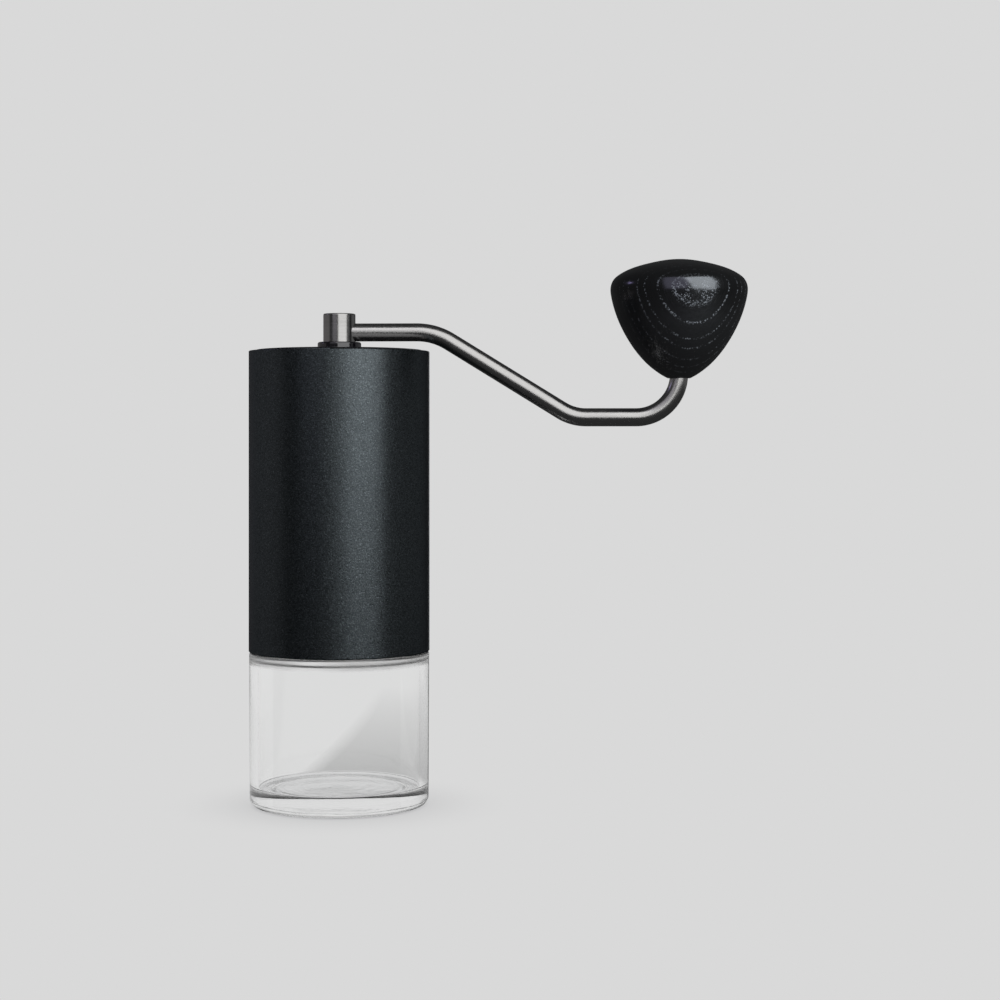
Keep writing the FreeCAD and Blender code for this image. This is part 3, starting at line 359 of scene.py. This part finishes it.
def gloss_black(name):
    """Polished black moulding with hairline rub marks and a slight swell in the surface."""
    m = Mat(name, ior=1.75)
    m.p.inputs["Coat Weight"].default_value = 1.0
    m.p.inputs["Coat IOR"].default_value = 1.6
    m.p.inputs["Coat Roughness"].default_value = 0.04
    r, z, dx, dy = m.radius()
    v = m.new("ShaderNodeCombineXYZ", {"X": r, "Y": m.math("MULTIPLY", dx, 0.15), "Z": m.math("MULTIPLY", dy, 0.15)}).outputs[0]
    hair = m.noise(v, 5200.0, 2.0, 0.5)
    swell = m.noise(m.coords(), 60.0, 2.0, 0.4)
    dust = m.cells(m.coords(), 620.0)
    mark = m.remap(hair, 0.60, 0.80, 0.0, 1.0)
    m.set("Base Color", m.blend(m.remap(dust, 0.02, 0.10, 1.0, 0.0), (0.0075, 0.0068, 0.0095), (0.030, 0.028, 0.033)))
    m.set("Roughness", m.remap(m.math("ADD", m.math("MULTIPLY", mark, 0.5), m.math("MULTIPLY", swell, 0.5)), 0.2, 0.8, 0.09, 0.20))
    m.set("Normal", m.bump(swell, 0.10, 0.0002))
    return m.m


def glass():
    """Clear pressed glass: nearly colourless, with the faint swell of a moulded jar."""
    m = Mat("jar_glass", ior=1.48, Transmission_Weight=1.0)
    m.p.inputs["Base Color"].default_value = (0.998, 1.0, 0.999, 1)
    swell = m.noise(m.scaled(1.0, 1.0, 0.5), 42.0, 2.0, 0.45)
    x, y, z = m.split()
    low = m.remap(z, 0.0, 0.012, 1.0, 0.0)
    ripple = m.noise(m.scaled(1.0, 1.0, 1.6), 150.0, 2.0, 0.5)
    h = m.math("ADD", swell, m.math("MULTIPLY", m.math("MULTIPLY", ripple, low), 0.45))
    # chill marks from the mould run round the foot and the underside, and the neck's step is left slightly frosted
    r = m.radius()[0]
    foot = m.remap(z, 0.0012, 0.0046, 1.0, 0.0)
    step = m.math("MULTIPLY", m.remap(z, 0.0492, 0.0505, 0.0, 1.0), m.remap(z, 0.0535, 0.0540, 1.0, 0.0))
    ring = m.new("ShaderNodeCombineXYZ", {"X": m.math("MULTIPLY", x, 0.11), "Y": m.math("MULTIPLY", y, 0.11), "Z": m.math("SUBTRACT", r, z)}).outputs[0]
    chill = m.noise(ring, 620.0, 2.0, 0.55)
    foot = m.math("MULTIPLY", foot, m.remap(r, 0.0205, 0.0235, 0.22, 1.0))
    h = m.math("ADD", h, m.math("MULTIPLY", m.math("MULTIPLY", chill, foot), 3.0))
    m.set("Normal", m.bump(h, 0.16, 0.0006))
    smear = m.noise(m.coords(), 180.0, 3.0, 0.6)
    dull = m.math("MAXIMUM", m.math("MULTIPLY", foot, m.remap(chill, 0.35, 0.65, 0.08, 0.38)), m.math("MULTIPLY", step, m.remap(swell, 0.35, 0.65, 0.25, 0.50)))
    m.set("Roughness", m.math("MAXIMUM", m.remap(smear, 0.55, 0.80, 0.0, 0.035), dull))
    return m.m


def wood():
    """Dark-stained laminated wood under satin lacquer. Each glue line shows as a broken row of pale pores."""
    m = Mat("laminated_wood", ior=2.0)
    m.p.inputs["Coat Weight"].default_value = 0.35
    m.p.inputs["Coat IOR"].default_value = 1.65
    m.p.inputs["Coat Roughness"].default_value = 0.13
    cx = 0.1193
    ang = math.radians(12.0)
    nx, ny = math.sin(ang), -math.cos(ang)
    x, y, z = m.split()
    dx = m.math("SUBTRACT", x, cx)
    across = m.math("ADD", m.math("MULTIPLY", dx, nx), m.math("MULTIPLY", y, ny))
    alongp = m.math("ADD", m.math("MULTIPLY", dx, -ny), m.math("MULTIPLY", y, nx))
    wav = m.noise(m.scaled(1.0, 1.0, 1.0), 55.0, 2.0, 0.5)
    d = m.math("ADD", across, m.math("MULTIPLY", m.math("SUBTRACT", wav, 0.5), 0.0009))
    # glue lines at uneven distances from the knob's axis
    at = [22.6, 20.3, 17.4, 15.25, 12.1, 9.6, 7.3, 4.8, 2.4, 0.0, -2.5, -4.9, -7.4, -9.7, -12.2, -14.6, -17.1, -19.4, -21.9]
    near = None
    for a in at:
        gap = m.math("ABSOLUTE", m.math("SUBTRACT", d, a * MM))
        near = gap if near is None else m.math("MINIMUM", near, gap)
    line = m.remap(near, 0.00008, 0.00027, 1.0, 0.0)
    # pores: short dashes along the sheet, in broken runs
    pv = m.new("ShaderNodeCombineXYZ", {"X": alongp, "Y": m.math("MULTIPLY", d, 0.6), "Z": z}).outputs[0]
    pores = m.cells(pv, 1550.0)
    dots = m.remap(pores, 0.30, 0.52, 1.0, 0.0)
    gaps = m.remap(m.noise(pv, 210.0, 2.0, 0.6), 0.36, 0.50, 0.0, 1.0)
    mask = m.math("MULTIPLY", m.math("MULTIPLY", line, dots), gaps)
    # the face sheet, where the surface runs nearly along it, is speckled all over
    face = m.remap(across, 0.0221, 0.0228, 0.0, 1.0)
    fine = m.remap(m.cells(pv, 1750.0), 0.22, 0.46, 1.0, 0.0)
    speck = m.math("MULTIPLY", m.math("MULTIPLY", face, fine), m.remap(m.noise(pv, 480.0, 2.0, 0.6), 0.40, 0.54, 0.0, 1.0))
    # painted light and shade: the pale pores are brightest on the lit front of the knob and dimmed towards its back;
    # they also fade out towards the top of the knob
    painted_light_on_pores = m.remap(across, 0.004, 0.0215, 0.16, 1.0)
    crown = m.remap(z, 0.1800, 0.1845, 1.0, 0.12)
    mask = m.math("MULTIPLY", m.math("MULTIPLY", mask, painted_light_on_pores), crown)
    # the face sheet's speckle fades to about a seventh of its strength above a height of about 181 mm, near the
    # shoulder
    mask = m.math("MAXIMUM", mask, m.math("MULTIPLY", m.math("MULTIPLY", speck, 0.9), m.remap(z, 0.1808, 0.1826, 1.0, 0.14)))
    fibre = m.noise(m.new("ShaderNodeCombineXYZ", {"X": alongp, "Y": m.math("MULTIPLY", d, 6.0), "Z": m.math("MULTIPLY", z, 0.12)}).outputs[0], 900.0, 3.0, 0.6)
    tone = m.blend(m.remap(fibre, 0.3, 0.7, 0.0, 1.0), (0.0065, 0.0065, 0.0065), (0.0125, 0.0122, 0.0120))
    m.set("Base Color", m.blend(mask, tone, (0.50, 0.52, 0.53)))
    worn = m.remap(z, 0.1690, 0.1790, 0.30, 0.0)
    m.set("Roughness", m.math("ADD", worn, m.remap(m.math("ADD", fibre, mask), 0.3, 1.2, 0.15, 0.34)))
    m.set("Normal", m.bump(m.math("SUBTRACT", m.math("MULTIPLY", fibre, 0.3), mask), 0.25, 0.00006))
    return m.m


def rubber(name, base, rough=0.6, **sockets):
    m = Mat(name, **sockets)
    tex = m.noise(m.coords(), 1900.0, 3.0, 0.6)
    dust = m.noise(m.coords(), 240.0, 3.0, 0.6)
    m.set("Base Color", m.blend(m.remap(dust, 0.35, 0.75, 0.0, 1.0), base, tuple(min(1.0, c * 1.3 + 0.006) for c in base)))
    m.set("Roughness", m.remap(tex, 0.3, 0.7, rough - 0.08, rough + 0.10))
    m.set("Normal", m.bump(tex, 0.2, 0.00004))
    return m.m


MATS = {
    "anod": anodised(),
    "glass": glass(),
    "wood": wood(),
    "bar": brushed_rod(),
    "hub": turned("turned_hub", (0.60, 0.59, 0.575), 1.0, 0.20, pitch=5200.0, depth=0.000012, spread=0.08, Anisotropic=0.4),
    "axle": turned("turned_axle", (0.55, 0.55, 0.56), 1.0, 0.24, pitch=6500.0),
    "burr": burr_steel(),
    "race": turned("ground_races", (0.64, 0.65, 0.67), 1.0, 0.12, pitch=12000.0, depth=0.000006, spread=0.06),
    "balls": steel("polished_balls", (0.68, 0.69, 0.70), 0.10, streaks=300.0),
    "spring": steel("spring_wire", (0.40, 0.40, 0.42), 0.30, streaks=1200.0),
    "plate": turned("click_plate_steel", (0.56, 0.56, 0.57), 1.0, 0.26, pitch=7000.0),
    "screw": steel("screw_steel", (0.55, 0.55, 0.56), 0.24, streaks=1500.0),
    "plastic": moulded("frame_plastic", (0.020, 0.020, 0.022), 0.48),
    "cage": moulded("cage_nylon", (0.36, 0.26, 0.13), 0.42, 2200.0),
    "washer": moulded("washer_nylon", (0.78, 0.76, 0.70), 0.40, 2200.0),
    "lid": gloss_black("gloss_lid"),
    "collar": gloss_black("gloss_collar"),
    "dial": turned("dial_anodised", (0.040, 0.043, 0.048), 0.9, 0.36, pitch=4200.0),
    "brass": turned("turned_brass", (0.71, 0.52, 0.23), 1.0, 0.24, pitch=6000.0),
    "bush": turned("bush_brass", (0.66, 0.48, 0.22), 1.0, 0.26, cx=0.1193, pitch=6000.0),
    "seal": rubber("seal_rubber", (0.018, 0.018, 0.018)),
    "gasket": rubber("gasket_silicone", (0.62, 0.62, 0.60), 0.42, Transmission_Weight=0.35),
}
CARRIED = {
    "outer_shell": "anod", "lower_frame": "plastic", "upper_frame": "plastic", "frame_screws": "screw",
    "lower_bearing_outer_race": "race", "lower_bearing_inner_race": "race", "upper_bearing_outer_race": "race", "upper_bearing_inner_race": "race",
    "lower_bearing_balls": "balls", "upper_bearing_balls": "balls", "lower_bearing_cage": "cage", "upper_bearing_cage": "cage",
    "lower_bearing_shields": "plate", "upper_bearing_shields": "plate", "axle": "axle", "upper_circlip": "spring", "lower_circlip": "spring",
    "spring_seat": "plate", "burr_spring": "spring", "inner_burr": "burr", "outer_burr": "burr", "burr_keys": "axle", "burr_retaining_ring": "spring",
    "click_plate": "plate", "adjustment_dial": "dial", "dial_insert": "brass", "click_balls": "balls", "click_springs": "spring",
    "lid": "lid", "lid_collar": "collar", "lid_seal": "seal", "crank_hub": "hub", "hub_clip": "spring", "crank_arm": "bar",
    "knob_clip": "spring", "knob_washer": "washer", "knob": "wood", "knob_bush": "bush", "jar": "glass", "jar_gasket": "gasket",
}
for node, key in CARRIED.items():
    assign(N[node], MATS[key])

# ------------------------------------------------------------------ the glass jar, re-turned finely with its moulded thread
SHOULDER, NECK_R, TOP = 53.7, 27.2, 62.2


def bead(r, z, a):
    """Height of the thread bead on the neck's outer wall."""
    if r < NECK_R - 0.01 or z < 54.2 or z > 61.6:
        return 0.0
    out = 0.0
    for turn in (0, 1):
        t = a / (2 * math.pi) + turn
        if t > 1.1:
            continue
        zc = 56.0 + 4.0 * t
        d = abs(z - zc)
        h = min(1.0, max(0.0, (0.98 - d) / 0.52))
        h = h * h * (3 - 2 * h)
        fade = min(1.0, t / 0.03, (1.1 - t) / 0.03)
        out = max(out, 1.24 * h * max(0.0, fade))
    return out


outer = rounded([(24.0, 0.0, 1.2, 6), (28.5, 0.0, 0.8, 6), (31.35, 0.45, 0.0, 1)], closed=False)
jar_prof = [(0.0, 0.9), (8.0, 0.9), (16.0, 0.9)]
jar_prof += rounded([(16.0, 0.9, 0, 1), (22.5, 0.9, 2.0, 6), (24.0, 0.0, 0.6, 4), (28.5, 0.0, 0.0, 1), (31.35, 0.45, 0.0, 1)], closed=False)[1:-2]
jar_prof += rounded([(24.4, 0.0, 0, 1), (28.45, 0.0, 1.0, 4), (31.35, 0.45, 2.8, 14), (31.6, SHOULDER, 0.9, 8), (NECK_R, SHOULDER, 0, 1)], closed=False)[1:-1]
jar_prof += [(28.6, SHOULDER), (NECK_R + 0.35, SHOULDER), (NECK_R + 0.10, SHOULDER + 0.10), (NECK_R, SHOULDER + 0.35)]
jar_prof += [(NECK_R, z) for z in np.arange(54.3, 61.4, 0.16)]
jar_prof += rounded([(NECK_R, 61.0, 0, 1), (NECK_R, TOP, 0.7, 6), (24.4, TOP, 0.7, 6), (24.4, 60.0, 0, 1)], closed=False)[1:]
jar_prof += rounded([(24.4, 60.0, 0, 1), (24.4, 51.2, 0.3, 6), (28.3, 51.2, 0.3, 6), (28.3, 40.0, 0, 1)], closed=False)[1:]
jar_prof += rounded([(28.3, 40.0, 0, 1), (28.3, 7.1, 0.4, 8), (18.0, 7.1, 0, 1)], closed=False)[1:]
jar_prof += [(9.0, 7.1), (0.0, 7.1)]
jar = lathe("glass_jar", jar_prof, seg=256, closed=False, radial=bead, sharp=60.0)
assign(jar, MATS["glass"])
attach(jar, "jar")
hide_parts("jar")

# ------------------------------------------------------------------ the knob, turned finely
KNOB = [(4.28, 0.16), (5.15, 0.62), (5.95, 1.08), (8.36, 2.72), (10.73, 4.66), (12.88, 6.84), (14.85, 9.19), (16.63, 11.69),
        (18.24, 14.29), (19.70, 16.98), (21.00, 19.77), (22.09, 22.62), (23.00, 25.55), (23.67, 28.52), (23.90, 31.58), (22.87, 34.40),
        (20.56, 36.38), (17.85, 37.82), (14.98, 38.90), (12.03, 39.75), (9.05, 40.46), (6.06, 41.05), (3.02, 41.44), (0.00, 41.57)]


def smooth_through(pts, per=7):
    """Natural cubic through pts, parametrised by chord length."""
    p = np.array(pts, float)
    t = np.concatenate([[0], np.cumsum(np.hypot(*np.diff(p, axis=0).T))])
    n = len(t)
    h = np.diff(t)
    out = []
    A = np.zeros((n, n))
    A[0, 0] = A[-1, -1] = 1
    for i in range(1, n - 1):
        A[i, i - 1], A[i, i], A[i, i + 1] = h[i - 1], 2 * (h[i - 1] + h[i]), h[i]
    curves = []
    for k in range(2):
        y = p[:, k]
        rhs = np.zeros(n)
        rhs[1:-1] = 6 * ((y[2:] - y[1:-1]) / h[1:] - (y[1:-1] - y[:-2]) / h[:-1])
        curves.append((y, np.linalg.solve(A, rhs)))
    for i in range(n - 1):
        for j in range(per if i < n - 2 else per + 1):
            s = t[i] + h[i] * j / per
            a, b = (t[i + 1] - s) / h[i], (s - t[i]) / h[i]
            q = []
            for y, m2 in curves:
                q.append(a * y[i] + b * y[i + 1] + ((a ** 3 - a) * m2[i] + (b ** 3 - b) * m2[i + 1]) * h[i] ** 2 / 6)
            out.append((q[0], q[1]))
    return out


kz, kx = 149.74, 119.3 * MM
knob_prof = [(0.0, 27.36), (3.5, 27.36), (3.5, 0.12), (3.62, 0.0), (3.95, 0.0)] + smooth_through(KNOB)
knob_prof = [(max(0.0, r) * 0.9996, z + kz) for r, z in knob_prof]
knob_prof[-1] = (0.0, knob_prof[-1][1])
knob = lathe("knob_turned", knob_prof, seg=192, centre=(kx, 0.0), closed=False, sharp=50.0)
assign(knob, MATS["wood"])
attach(knob, "knob")
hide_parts("knob")

# ------------------------------------------------------------------ the crank arm, swept finely with coordinates along the bar
SLOPE, Z1, Z2, X1, LEN = math.radians(31.62), 166.0, 136.1, 33.6, 119.3
R1, R2, R3 = 22.0, 16.5, 15.0
x2 = X1 + (Z1 - Z2) / math.tan(SLOPE)
t1, t2 = R1 * math.tan(SLOPE / 2), R2 * math.tan(SLOPE / 2)
path = []


def run(a, b, n):
    for i in range(n):
        f = i / n
        path.append((a[0] + (b[0] - a[0]) * f, a[1] + (b[1] - a[1]) * f))


def bend(c, r, a0, a1, n):
    for i in range(n):
        a = math.radians(a0 + (a1 - a0) * i / n)
        path.append((c[0] + r * math.cos(a), c[1] + r * math.sin(a)))


dx, dz = math.cos(SLOPE), -math.sin(SLOPE)
sdeg = math.degrees(SLOPE)
p0, p1 = (-3.65, Z1), (X1 - t1, Z1)
p2, p3 = (X1 + dx * t1, Z1 + dz * t1), (x2 - dx * t2, Z2 - dz * t2)
p4, p5 = (x2 + t2, Z2), (LEN - R3, Z2)
p6, p7 = (LEN, Z2 + R3), (LEN, 152.90)
run(p0, p1, 10)
bend((X1 - t1, Z1 - R1), R1, 90, 90 - sdeg, 16)
run(p2, p3, 16)
bend((x2 + t2, Z2 + R2), R2, 270 - sdeg, 270, 14)
run(p4, p5, 8)
bend((LEN - R3, Z2 + R3), R3, -90, 0, 28)
run(p6, p7, 2)
path.append(p7)
SEG = 64
verts, uvs, faces, dist = [], [], [], 0.0
stations = [(p, 3.175) for p in path]
stations += [((LEN, 152.98), 3.10), ((LEN, 153.00), 2.49), ((LEN, 172.85), 2.49), ((LEN, 172.85), 2.1), ((LEN, 173.45), 2.1), ((LEN, 173.45), 2.49), ((LEN, 173.7), 2.49), ((LEN, 173.98), 2.2)]
along = []
for i, (p, r) in enumerate(stations):
    q0 = stations[max(0, i - 1)][0]
    q1 = stations[min(len(stations) - 1, i + 1)][0]
    tx, tz = q1[0] - q0[0], q1[1] - q0[1]
    L = math.hypot(tx, tz) or 1.0
    tx, tz = tx / L, tz / L
    if i >= len(path) - 1:
        tx, tz = 0.0, 1.0
    if i == 0:
        tx, tz = 1.0, 0.0
    nx, nz = -tz, tx
    if i:
        dist += math.hypot(p[0] - stations[i - 1][0][0], p[1] - stations[i - 1][0][1])
    along.append(dist)
    for j in range(SEG):
        a = 2 * math.pi * j / SEG
        verts.append(((p[0] + nx * r * math.cos(a)) * MM, r * math.sin(a) * MM, (p[1] + nz * r * math.cos(a)) * MM))
rings = len(stations)
for i in range(rings - 1):
    for j in range(SEG):
        k = (j + 1) % SEG
        faces.append((i * SEG + j, i * SEG + k, (i + 1) * SEG + k, (i + 1) * SEG + j))
        uvs.append([(along[i], j / SEG), (along[i], (j + 1) / SEG), (along[i + 1], (j + 1) / SEG), (along[i + 1], j / SEG)])
for ring, flip in ((0, True), (rings - 1, False)):
    loop = [ring * SEG + j for j in range(SEG)]
    faces.append(tuple(reversed(loop)) if flip else tuple(loop))
    uvs.append([(along[ring], 0.0)] * SEG)
me = bpy.data.meshes.new("crank_bar")
me.from_pydata(verts, [], faces)
layer = me.uv_layers.new(name="along")
k = 0
for f, quad in zip(me.polygons, uvs):
    for li, uv in zip(f.loop_indices, quad):
        layer.data[li].uv = (uv[0] * MM, uv[1])
me.update()
me.polygons.foreach_set("use_smooth", [True] * len(me.polygons))
me.set_sharp_from_angle(angle=math.radians(35))
arm = link_object("crank_bar", me)
fix_normals(arm)
assign(arm, MATS["bar"])
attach(arm, "crank")
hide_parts("crank_arm")
arm.visible_glossy = False

# ------------------------------------------------------------------ the burr spring: a copy of its mesh, fixed where it rests and attached to no moving body
coil = link_object("burr_coil", N["burr_spring"].data.copy())
assign(coil, MATS["spring"])
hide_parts("burr_spring")
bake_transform(coil)

# ------------------------------------------------------------------ stage: floor, world, lights, camera
AZ = math.radians(3.0)
back = Vector((math.sin(AZ), -math.cos(AZ), 0.0))
right = Vector((math.cos(AZ), math.sin(AZ), 0.0))


def light_dir(phi, elev):
    """phi degrees to the right of the camera's side, elev degrees up."""
    p, e = math.radians(phi), math.radians(elev)
    return (back * math.cos(p) + right * math.sin(p)) * math.cos(e) + Vector((0, 0, math.sin(e)))


def area(name, phi, elev, dist, w, h, radiance, target=(0.03, 0.0, 0.11), color=(1, 1, 1)):
    d = bpy.data.lights.new(name, "AREA")
    d.shape = "RECTANGLE"
    d.size, d.size_y = w, h
    d.energy = radiance * math.pi * w * h
    d.color = color
    o = bpy.data.objects.new(name, d)
    scene.collection.objects.link(o)
    o.location = Vector(target) + light_dir(phi, elev) * dist
    o.rotation_mode = "QUATERNION"
    o.rotation_quaternion = (Vector(target) - o.location).to_track_quat("-Z", "Y")
    o.visible_camera = False
    o.visible_transmission = False
    return o


key = area("key_softbox", 26, 31, 1.15, 1.56, 1.50, 1.15, color=(0.985, 0.99, 1.0))
shell_key = area("shell_key", 33, 31, 1.15, 1.12, 1.50, 1.50, color=(0.985, 0.99, 1.0))
shell_wing = area("shell_wing", -2, 31, 1.15, 0.42, 1.50, 0.42, color=(0.985, 0.99, 1.0))
knob_key = area("knob_key", 37, 24, 1.15, 0.96, 1.46, 2.1, target=(0.12, 0.0, 0.17), color=(0.86, 0.93, 1.0))
knob_wing = area("knob_wing", -9, 24, 1.15, 0.86, 1.46, 0.42, target=(0.12, 0.0, 0.17), color=(0.74, 0.73, 1.0))
mid = area("mid_panel", -31, 33, 1.25, 0.74, 1.30, 0.36, color=(0.93, 0.90, 1.0))
lfill = area("left_fill", -112, 6, 1.30, 2.30, 0.80, 0.115, color=(1.0, 0.94, 0.96))
rfill = area("right_fill", 107, 6, 1.30, 2.10, 0.80, 0.085, color=(0.98, 0.98, 1.0))
glint = area("left_glint", -99, 24, 1.40, 0.16, 0.16, 2.4, color=(0.62, 0.55, 1.0))


def lights_only(lamp, pieces, state="INCLUDE"):
    """Let a lamp light only these pieces, or with EXCLUDE all but these."""
    c = bpy.data.collections.new(lamp.name + "_lights")
    for piece in pieces:
        c.objects.link(piece)
    for item in c.collection_objects:
        item.light_linking.link_state = state
    lamp.light_linking.receiver_collection = c


shell = N["outer_shell"]
lights_only(area("rear_panel", 180, 12, 1.30, 0.50, 1.50, 1.0, color=(0.98, 0.99, 1.0)), [shell])
lights_only(area("jar_left", -128, 4, 1.30, 2.2, 1.6, 0.55), [jar])
lights_only(area("jar_right", 128, 4, 1.30, 2.2, 1.6, 0.45), [jar])
lights_only(key, [shell, knob], "EXCLUDE")
lights_only(shell_key, [shell])
lights_only(shell_wing, [shell])
lights_only(knob_key, [knob])
lights_only(knob_wing, [knob])
lights_only(mid, [knob], "EXCLUDE")
lights_only(lfill, [knob], "EXCLUDE")
lights_only(rfill, [knob], "EXCLUDE")

PALE = 0.694
world = bpy.data.worlds.new("studio")
scene.world = world
world.use_nodes = True
wt = world.node_tree
wt.nodes.clear()
w_out = wt.nodes.new("ShaderNodeOutputWorld")
bg_seen = wt.nodes.new("ShaderNodeBackground")
bg_seen.inputs["Color"].default_value = (1, 1, 1, 1)
bg_seen.inputs["Strength"].default_value = PALE
bg_lit = wt.nodes.new("ShaderNodeBackground")
bg_lit.inputs["Color"].default_value = (0.95, 0.97, 1.0, 1)
bg_lit.inputs["Strength"].default_value = 0.035
lp = wt.nodes.new("ShaderNodeLightPath")
either = wt.nodes.new("ShaderNodeMath")
either.operation = "MAXIMUM"
wt.links.new(lp.outputs["Is Camera Ray"], either.inputs[0])
wt.links.new(lp.outputs["Is Transmission Ray"], either.inputs[1])
gain = wt.nodes.new("ShaderNodeMath")
gain.operation = "MULTIPLY_ADD"
wt.links.new(lp.outputs["Is Transmission Ray"], gain.inputs[0])
gain.inputs[1].default_value = PALE * 0.06
gain.inputs[2].default_value = PALE
wt.links.new(gain.outputs[0], bg_seen.inputs["Strength"])
mix = wt.nodes.new("ShaderNodeMixShader")
wt.links.new(either.outputs[0], mix.inputs[0])
wt.links.new(bg_lit.outputs[0], mix.inputs[1])
wt.links.new(bg_seen.outputs[0], mix.inputs[2])
wt.links.new(mix.outputs[0], w_out.inputs["Surface"])

fm = bpy.data.materials.new("pale_floor")
fm.use_nodes = True
ft = fm.node_tree
ft.nodes.clear()
f_out = ft.nodes.new("ShaderNodeOutputMaterial")
f_em = ft.nodes.new("ShaderNodeBsdfTransparent")
# the floor is a clear film tinted darker by ambient occlusion near anything standing on it: a painted contact shadow
f_ao = ft.nodes.new("ShaderNodeAmbientOcclusion")
f_ao.samples = 8
f_ao.inputs["Distance"].default_value = 0.03
f_contact_shadow = ft.nodes.new("ShaderNodeValToRGB")
f_contact_shadow.color_ramp.elements[0].position = 0.0
f_contact_shadow.color_ramp.elements[0].color = (0.72, 0.72, 0.73, 1)
f_contact_shadow.color_ramp.elements[1].position = 0.95
f_contact_shadow.color_ramp.elements[1].color = (1, 1, 1, 1)
ft.links.new(f_ao.outputs["AO"], f_contact_shadow.inputs["Fac"])
ft.links.new(f_contact_shadow.outputs["Color"], f_em.inputs["Color"])
ft.links.new(f_em.outputs[0], f_out.inputs["Surface"])


def f_math(op, a, b=0.0, clamp=False):
    n = ft.nodes.new("ShaderNodeMath")
    n.operation, n.use_clamp = op, clamp
    for k, v in enumerate((a, b)):
        if isinstance(v, bpy.types.NodeSocket):
            ft.links.new(v, n.inputs[k])
        else:
            n.inputs[k].default_value = v
    return n.outputs[0]


# a soft wedge of shade on the floor behind the jar, which only shows through the glass
f_tc = ft.nodes.new("ShaderNodeTexCoord")
f_rot = ft.nodes.new("ShaderNodeMapping")
f_rot.inputs["Rotation"].default_value = (0.0, 0.0, -AZ)
ft.links.new(f_tc.outputs["Object"], f_rot.inputs["Vector"])
f_xyz = ft.nodes.new("ShaderNodeSeparateXYZ")
ft.links.new(f_rot.outputs["Vector"], f_xyz.inputs["Vector"])
aside, behind = f_xyz.outputs["X"], f_xyz.outputs["Y"]
edge = f_math("SUBTRACT", f_math("MULTIPLY", behind, 0.1084), 0.0288)
over = f_math("MULTIPLY", f_math("ADD", f_math("SUBTRACT", aside, edge), 0.003), 90.0, clamp=True)
far = f_math("SUBTRACT", 1.0, f_math("MULTIPLY", f_math("SUBTRACT", behind, 0.060), 3.4), clamp=True)
near = f_math("MULTIPLY", f_math("SUBTRACT", behind, 0.036), 60.0, clamp=True)
f_lp = ft.nodes.new("ShaderNodeLightPath")
shade = f_math("MULTIPLY", f_math("MULTIPLY", over, far), f_math("MULTIPLY", near, f_lp.outputs["Is Transmission Ray"]))
f_mix = ft.nodes.new("ShaderNodeMix")
f_mix.data_type = "RGBA"
fi = [k for k in f_mix.inputs if k.enabled]
ft.links.new(f_math("MULTIPLY", shade, 0.36), fi[0])
ft.links.new(f_contact_shadow.outputs["Color"], fi[1])
fi[2].default_value = (0.0, 0.0, 0.0, 1)
ft.links.new([o for o in f_mix.outputs if o.enabled][0], f_em.inputs["Color"])
floor_verts = [(0, 0, -0.0001)] + [(6 * math.cos(2 * math.pi * i / 96), 6 * math.sin(2 * math.pi * i / 96), -0.0001) for i in range(96)]
floor = make_mesh("floor", floor_verts, [(0, 1 + i, 1 + (i + 1) % 96) for i in range(96)])
assign(floor, fm)
floor.visible_glossy = False
floor.visible_diffuse = False

cam_data = bpy.data.cameras.new("camera")
cam = bpy.data.objects.new("camera", cam_data)
scene.collection.objects.link(cam)
scene.camera = cam
cam.location = back * 0.732 + right * 0.0566 + Vector((0, 0, 0.1313))
cam.rotation_mode = "QUATERNION"
cam.rotation_quaternion = (-back).to_track_quat("-Z", "Y")
cam_data.sensor_width = 36.0
cam_data.lens = 74.77
cam_data.shift_y = -0.069
cam_data.clip_start = 0.05
cam_data.clip_end = 30.0
scene.view_settings.view_transform = "Standard"
scene.view_settings.look = "None"
